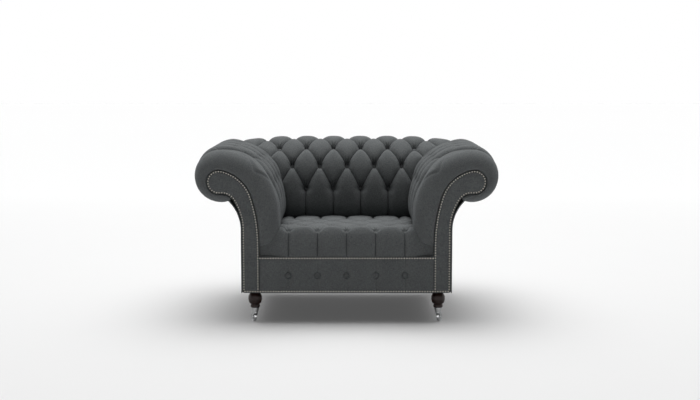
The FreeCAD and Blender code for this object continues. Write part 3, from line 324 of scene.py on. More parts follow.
def wood(name, colour, dark, roughness, coat, along):
    """Wood whose grain runs along one axis."""
    finish = Finish(name)
    scale = [70.0, 70.0, 70.0]
    scale[along] = 4.0
    place = finish.place(scale)
    grain = finish.noise(place, 1.0, 6.0, 0.6)
    pores = finish.noise(finish.place([value * 5 for value in scale]), 1.0, 2.0)
    share = (grain * 1.4 - 0.2).larger(0).smaller(1)
    body = finish.mix(share, tuple(channel * dark for channel in colour), colour)
    relief = finish.bump(grain * 0.5 + pores * 0.5, 0.0003, 0.35)
    finish.set(Base_Color=body, Roughness=roughness + grain * 0.12, Normal=relief,
               Coat_Weight=coat, Coat_Roughness=0.12, Specular_IOR_Level=0.3)
    return finish


def metal(name, colour, roughness, wear, scale):
    """Polished or brushed metal with faint handling marks."""
    finish = Finish(name)
    place = finish.place()
    marks = finish.noise(place, scale, 5.0, 0.65)
    rub = finish.noise(place, scale * 0.12, 2.0)
    tint = finish.mix((marks * 1.6 - 0.5).larger(0).smaller(1), tuple(channel * wear for channel in colour), colour)
    relief = finish.bump(marks, 0.00008, 0.3)
    finish.set(Base_Color=tint, Metallic=1.0, Roughness=(roughness + rub * 0.1 + marks * 0.05), Normal=relief)
    return finish


def coarse_cloth(name, colour, light, thread, roughness=0.95):
    """Open plain weave such as jute, hessian or a dust cover."""
    finish = Finish(name)
    place = finish.place()
    parts = finish.node("ShaderNodeSeparateXYZ", Vector=place)
    side = Value(finish.tree, parts.socket.node.outputs[1])
    up = Value(finish.tree, parts.socket.node.outputs[2])
    count = 2 * math.pi / thread
    wander = finish.noise(place, 120, 2.0)
    warp = ((parts + up * 0.5) * count + wander * 4).sine()
    weft = ((side + up * 0.5) * count + wander * 4).sine()
    weave = warp * weft * 0.5 + 0.5
    fibre = finish.noise(place, 300, 3.0)
    body = finish.mix((weave * 0.7 + fibre * 0.5 - 0.1).larger(0).smaller(1), colour, light)
    relief = finish.bump(weave, 0.0008, 0.8)
    finish.set(Base_Color=body, Roughness=roughness, Specular_IOR_Level=0.2, Normal=relief)
    return finish


def nylon(name):
    finish = Finish(name)
    grain = finish.noise(finish.place(), 900, 2.0)
    finish.set(Base_Color=finish.mix(grain, (0.03, 0.03, 0.032), (0.05, 0.05, 0.052)), Roughness=0.5 + grain * 0.15,
               Normal=finish.bump(grain, 0.0001, 0.4))
    return finish


FINISHED = {}


def finish_named(name):
    """The material of this name, made when it is first asked for."""
    if name not in FINISHED:
        colours = finishes()
        makers = {
            "tufted_cloth": lambda: woven_cloth("Charcoal cloth in folds", True, folds=True),
            "laid_cloth": lambda: woven_cloth("Charcoal cloth", True),
            "cloth": lambda: woven_cloth("Charcoal cloth on panels", False),
            "button_cloth": lambda: woven_cloth("Charcoal cloth on buttons", False, 0.9),
            "leg_wood": lambda: wood("Mahogany legs", tuple(colours.leg_wood), 0.35, 0.34, 0.12, 2),
            "frame_wood": lambda: wood("Beech frame", tuple(colours.frame_wood), 0.7, 0.55, 0.0, 0),
            "castor_metal": lambda: metal("Polished castors", tuple(colours.chrome), 0.08, 0.85, 500),
            "nail_metal": lambda: metal("Pewter nails", tuple(colours.nail), 0.22, 0.7, 700),
            "bolt_steel": lambda: metal("Zinc bolts", (0.55, 0.56, 0.58), 0.32, 0.7, 400),
            "glide_nylon": lambda: nylon("Nylon glides"),
            "webbing_jute": lambda: coarse_cloth("Jute webbing", (0.22, 0.14, 0.07), (0.42, 0.30, 0.17), 0.004),
            "hessian": lambda: coarse_cloth("Hessian", (0.25, 0.18, 0.10), (0.48, 0.37, 0.23), 0.003),
            "dust_cloth": lambda: coarse_cloth("Dust cover", (0.010, 0.010, 0.011), (0.026, 0.026, 0.028), 0.0016),
        }
        FINISHED[name] = makers[name]().material
    return FINISHED[name]


# Pieces and their meshes

def add_piece(name, mesh_or_bm, body, finish, replaced=()):
    """Puts a finished mesh into the scene, on its body."""
    if isinstance(mesh_or_bm, bmesh.types.BMesh):
        mesh = bpy.data.meshes.new(name)
        mesh_or_bm.to_mesh(mesh)
        mesh_or_bm.free()
    else:
        mesh = mesh_or_bm
    mesh.name = name
    if not mesh.polygons:
        raise RuntimeError(name + " has no faces")
    piece = bpy.data.objects.new(name, mesh)
    bpy.context.scene.collection.objects.link(piece)
    mesh.materials.clear()
    mesh.materials.append(finish_named(finish))
    mesh.shade_smooth()
    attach(piece, body)
    if replaced:
        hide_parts(*replaced)
    return piece


def finish_node(name, finish):
    """Gives a CAD node its material."""
    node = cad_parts[name]
    for place in node.material_slots:
        place.material = finish_named(finish)


def thicken(piece, thickness):
    wall = piece.modifiers.new("Cloth thickness", "SOLIDIFY")
    wall.thickness = thickness
    wall.offset = -1
    return piece


def soften(piece, width):
    """A small round on the edges of a thick cover."""
    edge = piece.modifiers.new("Soft edge", "BEVEL")
    edge.width = width
    edge.segments = 2
    edge.limit_method = "ANGLE"
    edge.angle_limit = math.radians(50)
    edge.harden_normals = True
    return piece


def faces_towards(bm, outward):
    """Turns the faces over if most of them look against outward(point)."""
    bm.normal_update()
    score = 0.0
    for face in bm.faces:
        score += face.normal.dot(outward(face.calc_center_median())) * face.calc_area()
    if score < 0:
        bmesh.ops.reverse_faces(bm, faces=bm.faces)


def laid_sheet(points, cloth, marks=None, creases=None):
    """A sheet of cloth whose grid of points was worked out by sculpting a flat grid.

    points has a row of points for each row of the cloth, and cloth says where each lies when laid flat.
    """
    rows, columns = points.shape[:2]
    bm = bmesh.new()
    bmesh.ops.create_grid(bm, x_segments=columns - 1, y_segments=rows - 1, size=1)
    bm.verts.ensure_lookup_table()
    flat = np.array([vert.co[:2] for vert in bm.verts])
    column = np.rint((flat[:, 0] + 1) / 2 * (columns - 1)).astype(int)
    row = np.rint((flat[:, 1] + 1) / 2 * (rows - 1)).astype(int)
    layer = bm.loops.layers.uv.new("Cloth")
    for vert, i, j in zip(bm.verts, column, row):
        vert.co = points[j, i]
        for loop in vert.link_loops:
            loop[layer].uv = cloth[j, i]
    marks = dict(marks or {})
    if creases is not None:
        marks["crease"] = creases
    for mark, values in marks.items():
        tag = bm.verts.layers.float.new(mark)
        for vert, i, j in zip(bm.verts, column, row):
            vert[tag] = float(values[j, i])
    if creases is not None:
        folded = {vert for vert, i, j in zip(bm.verts, column, row) if creases[j, i]}
        bmesh.ops.connect_verts(bm, verts=list(folded), check_degenerate=False)
        for edge in bm.edges:
            if edge.verts[0] in folded and edge.verts[1] in folded:
                edge.smooth = False
    return bm


# The upholstery line across an arm, which the back repeats

def section_point(angle, rise):
    """Across and height of the upholstery where it faces angle degrees above level, over the roll past 90."""
    s = shape()
    angle = np.asarray(angle, float)
    rise = np.asarray(rise, float)
    crest_height = s.roll_height + rise + s.roll_radius - s.crest_radius
    reach = s.roll_across - s.pad_line
    drop = crest_height - s.pad_height
    full_radius = (s.crest_radius ** 2 - reach ** 2 - drop ** 2) / (2 * (s.crest_radius - reach))
    join = np.degrees(np.arctan2(drop, s.pad_line + full_radius - s.roll_across))
    over = angle >= 90
    crest = (angle >= join) & ~over
    full = (angle >= 0) & (angle < join)
    across = np.where(over | crest, s.roll_across, np.where(full, s.pad_line + full_radius,
                                                             s.pad_line + s.tuck_radius))
    height = np.where(over, s.roll_height + rise, np.where(crest, crest_height, s.pad_height))
    radius = np.where(over, s.roll_radius, np.where(crest, s.crest_radius,
                                                    np.where(full, full_radius, s.tuck_radius)))
    turn = np.radians(angle)
    return across - radius * np.cos(turn), height + radius * np.sin(turn)


def under_roll_angle(rise):
    """Where the roll's underside meets the outside panel, which comes sooner the higher the roll stands."""
    plain = 290.4
    sooner_per_metre = 5.2 / 0.012
    return plain - sooner_per_metre * rise


def even_angles(start, end, steps):
    """Angles from start to end, evenly spaced along the surface."""
    fine = np.linspace(start, end, 400)
    across, height = section_point(fine, tufts().rise)
    run = np.concatenate(([0], np.cumsum(np.hypot(np.diff(across), np.diff(height)))))
    return np.interp(np.linspace(0, run[-1], steps + 1), run, fine)


def row_stations():
    """Angles of the cloth's rows from the underside of the roll to the seat, and the row of each button line."""
    steps = tufts().steps
    roll = even_angles(under_roll_angle(tufts().rise), ROW_ANGLES[0], steps * 3)
    parts = [roll]
    marks = [steps * 3]
    for start, end in zip(ROW_ANGLES, ROW_ANGLES[1:]):
        parts.append(even_angles(start, end, steps)[1:])
        marks.append(marks[-1] + steps)
    parts.append(even_angles(ROW_ANGLES[-1], FOOT_ANGLE, steps * 2)[1:])
    return np.concatenate(parts), marks


def run_along(stations):
    """How far each row lies from the crest, measured over the surface towards the seat."""
    across, height = section_point(stations, tufts().rise)
    run = np.concatenate(([0], np.cumsum(np.hypot(np.diff(across), np.diff(height)))))
    return run - np.interp(-90, -stations, run)


# The scroll that the facings and their nails follow

def bow(centre, radius, start, end, count):
    return {"centre": centre, "radius": radius, "start": start, "end": end, "count": count}


def scroll_bows(offset):
    """The facing's outline as arcs from its inner foot, over the head, to its outer foot."""
    s = shape()
    head = (s.roll_across + 0.004, s.roll_height - 0.021)
    head_radius = 0.050
    shoulder_radius = 0.165
    neck_radius = 0.055
    lean = math.radians(102)
    hang = math.radians(-96.5)
    inner_start = 0.334
    outer_start = 0.393
    shoulder = (head[0] - math.cos(lean) * (shoulder_radius - head_radius),
                head[1] - math.sin(lean) * (shoulder_radius - head_radius))
    reach = shoulder[0] - s.scroll_inner
    climb = shoulder[1] - inner_start
    inner_radius = (reach ** 2 + climb ** 2 - shoulder_radius ** 2) / (2 * (reach - shoulder_radius))
    inner = (s.scroll_inner + inner_radius, inner_start)
    neck = (head[0] + math.cos(hang) * (head_radius + neck_radius),
            head[1] + math.sin(hang) * (head_radius + neck_radius))
    reach = neck[0] - s.scroll_outer
    climb = neck[1] - outer_start
    outer_radius = (reach ** 2 + climb ** 2 - neck_radius ** 2) / (2 * (reach - neck_radius))
    outer = (s.scroll_outer + outer_radius, outer_start)
    inner_end = math.atan2(shoulder[1] - inner[1], shoulder[0] - inner[0]) % (2 * math.pi)
    outer_end = math.atan2(neck[1] - outer[1], neck[0] - outer[0]) % (2 * math.pi)
    return [
        bow(inner, inner_radius + offset, math.pi, inner_end, 24),
        bow(shoulder, shoulder_radius + offset, inner_end, lean, 24),
        bow(head, head_radius + offset, lean, hang, 28),
        bow(neck, neck_radius - offset, hang + math.pi, outer_end, 14),
        bow(outer, outer_radius - offset, outer_end, math.pi, 14),
    ]


def scroll_line(offset, bottom):
    """Points along the facing's outline, from its inner foot to its outer foot, in the plane of the facing."""
    s = shape()
    points = [(s.scroll_inner - offset, bottom)]
    for arc in scroll_bows(offset):
        count = arc["count"]
        for place in range(count + 1):
            turn = arc["start"] + (arc["end"] - arc["start"]) * place / count
            points.append((arc["centre"][0] + arc["radius"] * math.cos(turn),
                           arc["centre"][1] + arc["radius"] * math.sin(turn)))
    points.append((s.scroll_outer + offset, bottom))
    line = [points[0]]
    for point in points[1:]:
        if math.dist(point, line[-1]) > 1e-5:
            line.append(point)
    return np.array(line)


def round_off(line, radius):
    """Rounds the outer bottom corner, where the outline ends."""
    corner = line[-1]
    count = 5
    kept = [point for point in line[:-1] if point[1] > corner[1] + radius or point[0] < corner[0] - radius]
    for place in range(count + 1):
        turn = math.pi / 2 * place / count
        kept.append((corner[0] - radius * (1 - math.cos(turn)), corner[1] + radius * (1 - math.sin(turn))))
    return np.array(kept)


def spaced(line, pitch, closed=False):
    """Points at an even pitch along a line of points, with the way the line runs at each."""
    if closed:
        line = np.vstack((line, line[:1]))
    runs = np.hypot(*np.diff(line, axis=0).T)
    total = runs.sum()
    reach = np.concatenate(([0], np.cumsum(runs)))
    count = max(1, round(total / pitch))
    stops = np.linspace(0, total, count + 1)
    if closed:
        stops = stops[:-1]
    return np.column_stack([np.interp(stops, reach, line[:, axis]) for axis in (0, 1)])


def facing_points(stations):
    """The point of the facing's outline that belongs to each row of the arm's cloth."""
    bows = scroll_bows(0.001)
    inner, shoulder, head, neck = bows[:4]
    turn_inner = 180 - math.degrees(inner["end"])
    turn_shoulder = 180 - math.degrees(shoulder["end"])
    head_run = abs(head["end"] - head["start"]) - math.radians(12)
    neck_run = math.radians(54)
    lengths = (head["radius"] * head_run, neck["radius"] * neck_run)
    under = under_roll_angle(0)
    points = []
    for angle in stations:
        if angle <= 90:
            level = max(angle, 0)
            arc = inner if level < turn_inner else shoulder if level < turn_shoulder else head
            turn = math.radians(180 - level)
        else:
            run = (angle - 90) / (under - 90) * sum(lengths)
            if run < lengths[0]:
                arc = head
                turn = math.pi / 2 - run / head["radius"]
            else:
                arc = neck
                turn = neck["start"] + (run - lengths[0]) / neck["radius"]
        points.append((arc["centre"][0] + arc["radius"] * math.cos(turn),
                       arc["centre"][1] + arc["radius"] * math.sin(turn)))
    return np.array(points)


# How stuffing lifts a cover between its buttons and pleats

class Cover:
    """Heights of a sheet of cloth over its surface, held down at buttons and pleats."""

    def __init__(self, along, run):
        self.along = np.asarray(along, float)
        self.run = np.asarray(run, float)
        self.height = np.zeros((len(run), len(along)))
        self.held = np.zeros(self.height.shape, bool)
        self.crease = np.zeros(self.height.shape, bool)
        self.buttons = []

    def hold(self, row, column, height):
        if 0 <= row < self.height.shape[0] and 0 <= column < self.height.shape[1]:
            if not self.held[row, column] or height < self.height[row, column]:
                self.height[row, column] = height
            self.held[row, column] = True

    def pleat(self, start, end, ends, middle, sharp=2.6):
        """Holds a line of the grid down, by ends at its two ends and by middle between them."""
        count = max(abs(end[0] - start[0]), abs(end[1] - start[1]))
        for place in range(count + 1):
            share = place / count
            row = round(start[0] + (end[0] - start[0]) * share)
            column = round(start[1] + (end[1] - start[1]) * share)
            away = abs(2 * share - 1)
            edge = ends[0] if share < 0.5 else ends[1]
            self.hold(row, column, -(middle + (edge - middle) * away ** sharp))
            if 0 <= row < self.height.shape[0] and 0 <= column < self.height.shape[1]:
                self.crease[row, column] = True

    def button(self, row, column, depth, width):
        self.buttons.append((row, column))
        if not (0 <= row < len(self.run) and 0 <= column < len(self.along)):
            return
        near = np.hypot((self.run[:, None] - self.run[row]) / 1.25, self.along[None, :] - self.along[column])
        inside = near < width / 2
        self.height[inside] = -depth
        self.held |= inside

    def hold_beyond(self, beyond, depth):
        """Holds all of the cloth past a mitre down."""
        self.height[beyond] = -depth[beyond]
        self.held |= beyond
        self.crease &= ~beyond

    def swell(self, push, level, reach, sweeps=260):
        """Lets the cloth settle between what holds it; push lifts it, and the stuffing stands up to its level."""
        height = self.height
        firm = np.broadcast_to(1 / np.asarray(reach) ** 2, height.shape)
        before = np.diff(self.along)[:-1]
        after = np.diff(self.along)[1:]
        above = np.diff(self.run)[:-1][:, None]
        below = np.diff(self.run)[1:][:, None]
        pulls = (2 / (before * (before + after)), 2 / (after * (before + after)),
                 2 / (above * (above + below)), 2 / (below * (above + below)))
        total = pulls[0] + pulls[1] + pulls[2] + pulls[3] + firm[1:-1, 1:-1]
        rows, columns = np.indices(height.shape)
        colour = ((rows + columns) % 2)[1:-1, 1:-1]
        free = ~self.held[1:-1, 1:-1]
        push = np.broadcast_to(push + firm * level, height.shape)[1:-1, 1:-1]
        for sweep in range(sweeps):
            for turn in (0, 1):
                wanted = (pulls[0] * height[1:-1, :-2] + pulls[1] * height[1:-1, 2:]
                          + pulls[2] * height[:-2, 1:-1] + pulls[3] * height[2:, 1:-1] + push) / total
                inner = height[1:-1, 1:-1]
                inner += np.where(free & (colour == turn), 1.8 * (wanted - inner), 0)
            for edge, inside, held in ((height[0], height[1], self.held[0]), (height[-1], height[-2], self.held[-1]),
                                       (height[:, 0], height[:, 1], self.held[:, 0]),
                                       (height[:, -1], height[:, -2], self.held[:, -1])):
                edge[~held] = inside[~held]
        return height

    def gathers(self, toward=-1):
        """Small folds that fan out from each button: their angle and their strength."""
        angle = np.zeros(self.height.shape)
        strength = np.zeros(self.height.shape)
        for row, column in self.buttons:
            if not (0 <= row < len(self.run) and 0 <= column < len(self.along)):
                continue
            side = self.along[None, :] - self.along[column]
            ahead = (self.run[:, None] - self.run[row]) * toward
            away = np.hypot(side, ahead)
            turn = np.arctan2(side, ahead)
            fan = np.clip(1.25 - np.abs(turn) / 0.8, 0, 1) * np.exp(-((away - 0.020) / 0.016) ** 2)
            better = fan > strength
            angle[better] = np.broadcast_to(turn, angle.shape)[better]
            strength[better] = fan[better]
        return angle, strength


def rounded_corner(across, rear):
    """Turns the roll's square rear corners into round ones, seen from above."""
    s = shape()
    side = np.sign(across)
    out = np.abs(across) - s.corner_across
    back = rear - s.corner_rear
    far = np.maximum(out, back)
    near = np.minimum(out, back)
    in_corner = (near > 0) & (far > 0)
    turn = np.where(in_corner, math.pi / 4 * near / np.where(far > 1e-9, far, 1), 0)
    main = far * np.cos(turn)
    minor = far * np.sin(turn)
    new_out = np.where(out >= back, main, minor)
    new_back = np.where(out >= back, minor, main)
    return (np.where(in_corner, side * (s.corner_across + new_out), across),
            np.where(in_corner, s.corner_rear + new_back, rear))


def smooth_step(value):
    value = np.clip(value, 0, 1)
    return value * value * (3 - 2 * value)


def centred(number, step, middle=0):
    """Places of a row of this many, set out evenly either side of the middle."""
    return [middle + (2 * place - number + 1) * step for place in range(number)]


def tufted_curve(cover, marks, columns, roll_columns, first=None):
    """Buttons and pleats on a curved pad; columns holds the grid columns of each row's buttons."""
    t = tufts()
    steps = t.steps
    for row, places in zip(marks, columns):
        for column in places:
            cover.button(row, column, t.button_depth, t.button_width)
    for number in range(len(marks) - 1):
        row = marks[number]
        low = marks[number + 1]
        for column in columns[number]:
            for end in (column - steps, column + steps):
                if first is not None and end < first:
                    continue
                deep = t.button_depth if end in columns[number + 1] else t.pleat_depth
                cover.pleat((row, column), (low, end), (t.button_depth, deep), t.pleat_depth)
        for column in columns[number + 1]:
            for end in (column - steps, column + steps):
                if end not in columns[number] and (first is None or end >= first):
                    cover.pleat((row, end), (low, column), (t.pleat_depth, t.button_depth), t.pleat_depth)
    last = len(cover.run) - 1
    for column in columns[-1]:
        cover.pleat((marks[-1], column), (last, column), (t.button_depth, t.pleat_depth * 0.6), t.pleat_depth)
    for column in roll_columns:
        deep = t.button_depth if column in columns[0] else t.roll_pleat_depth
        cover.pleat((marks[0], column), (0, column), (deep, t.roll_pleat_depth * 0.6), t.roll_pleat_depth)


def corner_dip(stations, gap):
    """How far the crest sinks towards the corner, by the distance from the mitre."""
    upper = smooth_step((np.asarray(stations) - 30) / 45)
    return tufts().corner_dip * upper * under_fade(stations) * np.exp(-(gap / 0.095) ** 2)


def under_fade(stations):
    """Full over the crest and gone where the roll meets the outside covers."""
    return 1 - smooth_step((np.asarray(stations) - 150) / 110)


def mitre_hold(stations, size):
    """Depth that the mitre holds each row of the cloth at, for a grid of this size."""
    return np.broadcast_to((tufts().mitre_depth * under_fade(stations))[:, None], size)


def settle(cover, level):
    """Lets a pad's cloth settle, with its stuffing thinner under the roll and firmer near the seat."""
    t = tufts()
    return cover.swell(t.fullness, np.where(level > 100, 0.001, 0.002), np.where(level < 8, 0.009, t.reach))


def cut_at_mitre(bm, side, arm):
    """Cuts the cloth of an arm or of the back off at the mitre, with a hair between the two."""
    hair = 0.0003 if arm else -0.0003
    bmesh.ops.bisect_plane(bm, geom=bm.verts[:] + bm.edges[:] + bm.faces[:], dist=1e-6,
                           plane_co=(side * (shape().back_shift + hair), 0, 0),
                           plane_no=Vector((side, -1, 0)).normalized(), clear_inner=arm, clear_outer=not arm)


def beyond_mitre(stations, along):
    """Where the cloth lies past the mitre between arm and back; along is measured as the back's depth is."""
    t = tufts()
    across, up = section_point(stations, t.rise)
    held = t.mitre_depth * under_fade(stations) + corner_dip(stations, 0)
    level = across + held * np.cos(np.radians(stations)) - shape().back_shift
    return level[:, None] - along[None, :]


def foot_fullness(angles, depth):
    """How much fuller the arm's lower edge is near the front, where it bulges over the seat."""
    share = np.clip(np.asarray(angles) / FOOT_ANGLE, 0, 1)
    return 0.016 * np.sin(math.pi * share ** 1.3) * (1 - smooth_step((np.asarray(depth) - 0.05) / 0.22))


def arm_cover(side):
    """The arm's cloth from the edge of its facing, round its front and back to the mitre."""
    t = tufts()
    s = shape()
    steps = t.steps
    stations, marks = row_stations()
    half = t.pitch / 2
    wrap = 22
    plain = np.linspace(0, t.first, 25)[1:]
    tufted = t.first + half / steps * np.arange(1, int((0.94 - t.first) / (half / steps)))
    depth = np.concatenate(([0.0], plain, tufted))
    first = len(plain)
    cover = Cover(depth, run_along(stations))
    columns = [[first + 2 * steps * place + (row % 2) * steps for place in range(count)]
               for row, count in enumerate(ARM_ROWS)]
    tufted_curve(cover, marks, columns, columns[0] + [columns[0][-1] + 2 * steps], first)
    cover.hold_beyond(beyond_mitre(stations, FRONT + depth) < 0.003, mitre_hold(stations, cover.height.shape))
    cover.held[:, depth < 0.045] = True
    cover.held[-1, :] = True
    cover.held[0, :] = True
    level = stations[:, None]
    height = settle(cover, level)
    edge = np.interp(np.arange(len(stations)), marks, (t.first, t.first + half, t.first, t.first + half))
    rise = t.rise * smooth_step((depth[None, :] - edge[:, None]) / 0.036 + 0.5)
    grid_angle = np.broadcast_to(level, height.shape)
    under = under_roll_angle(rise)
    past = np.clip((grid_angle - 90) / (stations[0] - 90), 0, 1)
    grid_angle = np.where(grid_angle > 90, 90 + past * (under - 90), grid_angle)
    across, up = section_point(grid_angle, rise)
    turn = np.radians(grid_angle)
    rear = FRONT + np.broadcast_to(depth, height.shape)
    gap = (across - s.back_shift - rear) / math.sqrt(2)
    height = height + foot_fullness(grid_angle, depth[None, :]) - corner_dip(level, gap)
    across = across - np.cos(turn) * height
    up = up + np.sin(turn) * height
    body = np.stack((across, rear, up), axis=-1)
    front_turn = 0.040 + 0.022 * smooth_step(stations / 90)
    front_part = arm_front(stations, wrap, front_turn)
    keep = depth > 0.066
    points = np.concatenate((front_part, body[:, keep]), axis=1)
    cloth_along = np.concatenate((np.linspace(-0.11, 0.060, front_part.shape[1]), depth[keep]))
    cloth = np.stack(np.broadcast_arrays(cloth_along[None, :], cover.run[:, None]), axis=-1)
    angle, strength = cover.gathers()
    front_zero = np.zeros(front_part.shape[:2])
    angle, strength, crease = [np.concatenate((front_zero, item[:, keep]), axis=1)
                               for item in (angle, strength, cover.crease)]
    x, y = rounded_corner(points[..., 0], points[..., 1])
    points = np.stack((x * side, y, points[..., 2]), axis=-1)
    bm = laid_sheet(points, cloth, {"fold_angle": angle, "fold_strength": strength}, crease > 0)
    cut_at_mitre(bm, side, True)
    faces_towards(bm, lambda point: point - Vector((side * 0.47, point.y, 0.5)))
    return bm


def arm_front(stations, count, front_turn):
    """The rounded front of an arm, from the edge of its facing to where the arm runs straight back."""
    under = under_roll_angle(0)
    past = np.clip((stations - 90) / (stations[0] - 90), 0, 1)
    fitted = np.where(stations > 90, 90 + past * (under - 90), stations)
    outer = np.column_stack(section_point(fitted, 0))
    normal = np.column_stack((-np.cos(np.radians(fitted)), np.sin(np.radians(fitted))))
    outer = outer + normal * foot_fullness(fitted, 0)[:, None]
    inner = facing_points(fitted)
    wide = np.hypot(*(outer - inner).T)
    points = []
    for row, station in enumerate(stations):
        width = wide[row]
        lip = min(0.011, 0.25 * width)
        bend = min(0.8 * width, 0.062)
        deep = front_turn[row]
        line = []
        for place in range(6):
            turn = math.pi / 2 * place / 6
            line.append((lip * (1 - math.cos(turn)), 0.014 * (1 - math.sin(turn))))
        flat = width - bend
        for place in range(5):
            line.append((lip + (flat - lip) * place / 5, 0.0))
        notch = max(0, 1 - abs(station - NOTCH_ANGLE) / NOTCH_SPAN)
        centre = count - 13 * notch
        for place in range(count + 1):
            turn = math.pi / 2 * place / count
            lift = (0.0035 * math.exp(-((place - centre - 4) / 3) ** 2)
                    - 0.0045 * math.exp(-((place - centre) / 1.3) ** 2)) * notch ** 0.5
            line.append((flat + (bend + lift) * math.sin(turn), deep - (deep + lift) * math.cos(turn)))
        away = (outer[row] - inner[row]) / max(width, 1e-6)
        points.append([(inner[row][0] + away[0] * reach, FRONT + back, inner[row][1] + away[1] * reach)
                       for reach, back in line])
    return np.array(points)


def back_cover():
    """The cloth of the back, mitred to both arms."""
    t = tufts()
    s = shape()
    steps = t.steps
    stations, marks = row_stations()
    half = t.pitch / 2
    count = int(0.66 / (half / steps))
    along = np.arange(-count, count + 1) * half / steps
    middle = count
    cover = Cover(along, run_along(stations))
    columns = [centred(number, steps, middle) for number in BACK_ROWS]
    tufted_curve(cover, marks, columns, centred(ROLL_PLEATS, steps, middle))
    beyond = beyond_mitre(stations, np.abs(along) - s.back_shift) < 0.003
    cover.hold_beyond(beyond, mitre_hold(stations, cover.height.shape))
    cover.held[-1, :] = True
    cover.held[0, :] = True
    level = stations[:, None]
    height = settle(cover, level)
    grid_angle = np.broadcast_to(level, height.shape)
    across, up = section_point(grid_angle, t.rise)
    turn = np.radians(grid_angle)
    x = np.broadcast_to(along, height.shape)
    gap = (across - np.abs(x)) / math.sqrt(2)
    height = height - corner_dip(level, gap)
    across = across - np.cos(turn) * height
    up = up + np.sin(turn) * height
    x, y = rounded_corner(x, across - s.back_shift)
    points = np.stack((x, y, up), axis=-1)
    cloth = np.stack(np.broadcast_arrays(along[None, :], cover.run[:, None]), axis=-1)
    angle, strength = cover.gathers()
    bm = laid_sheet(points, cloth, {"fold_angle": angle, "fold_strength": strength}, cover.crease)
    for side in (-1, 1):
        cut_at_mitre(bm, side, False)
    faces_towards(bm, lambda point: point - Vector((point.x, 0.305, 0.5)))
    return bm


def seat_height(rear):
    """Height of the seat's crown at this distance from the middle of the chair."""
    s = shape()
    share = (rear - FRONT) / (0.197 - FRONT)
    return s.seat_front + (s.seat_rear - s.seat_front) * share


def seat_front_point(turn):
    """A point of the seat's rounded front edge, turned from upright at 0 to level at a quarter."""
    t = tufts()
    top = seat_height(SEAT_FRONT + t.seat_edge_depth)
    return (SEAT_FRONT + t.seat_edge_depth * (1 - np.cos(turn)), top - t.seat_edge_height * (1 - np.sin(turn)))


def seat_edge_run():
    """Length of cloth round the seat's front edge."""
    t = tufts()
    return math.pi / 2 * math.sqrt((t.seat_edge_depth ** 2 + t.seat_edge_height ** 2) / 2)


def seat_cover():
    """The cloth of the seat, from the front border up over its edge and back under the back."""
    t = tufts()
    s = shape()
    steps = t.steps
    half = t.seat_pitch / 2
    count = int(round(s.scroll_inner / (half / steps)))
    along = np.arange(-count, count + 1) * half / steps
    along = along * min(1, (s.scroll_inner - 0.0006) / along[-1])
    middle = count
    quarter = seat_edge_run()
    first_run = quarter * t.seat_first_turn / (math.pi / 2)
    lower = float(seat_front_point(0)[1])
    front_rows = np.linspace(s.border_top + 0.0005, lower, 12)
    front_run = front_rows - lower
    to_button = np.linspace(0, first_run, 19)[1:]
    step_run = t.seat_row / steps
    after = first_run + step_run * np.arange(1, steps * 4 + 1)
    rear_run = after[-1] + np.linspace(0, 0.225, 34)[1:]
    run = np.concatenate((front_run, to_button, after, rear_run))
    marks = [len(front_run) + len(to_button) - 1 + steps * row for row in range(5)]
    cover = Cover(along, run)
    rows = [centred(number, steps, middle) for number in SEAT_ROWS]
    for row, spots in zip(marks, rows):
        for column in spots:
            cover.button(row, column, t.seat_button_depth, t.button_width)
    ends = (t.seat_button_depth, t.seat_button_depth)
    for row, low, spots in zip(marks, marks[1:], rows):
        for column in spots:
            for step in (-steps, steps):
                cover.pleat((row, column), (low, column + step), ends, t.seat_pleat_depth)
    for row, high, spots in zip(marks[1::2], marks, rows[::2]):
        for column in (spots[0], spots[-1]):
            step = -steps if column < middle else steps
            shallow = t.seat_pleat_depth
            cover.pleat((high, column), (row, column + step), (t.seat_button_depth, shallow), shallow)
            cover.pleat((row, column + step), (high + 2 * steps, column), (shallow, t.seat_button_depth), shallow)
    for column in rows[0]:
        cover.pleat((marks[0], column), (0, column), (t.seat_button_depth, 0.004), 0.007, 4)
        cover.pleat((marks[4], column), (len(run) - 1, column), (t.seat_button_depth, 0.006), t.seat_pleat_depth)
    cover.held[0, :] = True
    height = cover.swell(np.where(run < first_run - 0.02, 0.3, 0.8)[:, None] * t.fullness, 0.0015,
                         np.where(run < first_run - 0.02, 0.006, 0.011)[:, None])
    turn = np.clip(run / quarter, 0, 1) * math.pi / 2
    rear, up = seat_front_point(turn)
    rear = rear + np.maximum(run - quarter, 0)
    up = np.where(run <= 0, lower + run, np.where(run < quarter, up, seat_height(rear)))
    lean = smooth_step(run / (first_run - 0.012)) * math.pi / 2
    out_rear = -np.cos(lean)
    out_up = np.sin(lean)
    crown = 0.005 * np.cos(np.clip(np.abs(along) / s.scroll_inner, 0, 1) * math.pi / 2)[None, :]
    height = height + crown * smooth_step((run - first_run) / 0.10)[:, None] * 0.6
    beside_arm = smooth_step((np.abs(along) - 0.262) / 0.055)
    height = height - 0.013 * beside_arm[None, :]
    points = np.stack(np.broadcast_arrays(along[None, :], rear[:, None] + out_rear[:, None] * height,
                                          up[:, None] + out_up[:, None] * height), axis=-1)
    cloth = np.stack(np.broadcast_arrays(along[None, :], run[:, None]), axis=-1)
    angle, strength = cover.gathers(1)
    strength = strength * 0.6
    bm = laid_sheet(points, cloth, {"fold_angle": angle, "fold_strength": strength}, cover.crease)
    faces_towards(bm, lambda point: Vector((0, -0.4, 1)))
    return bm


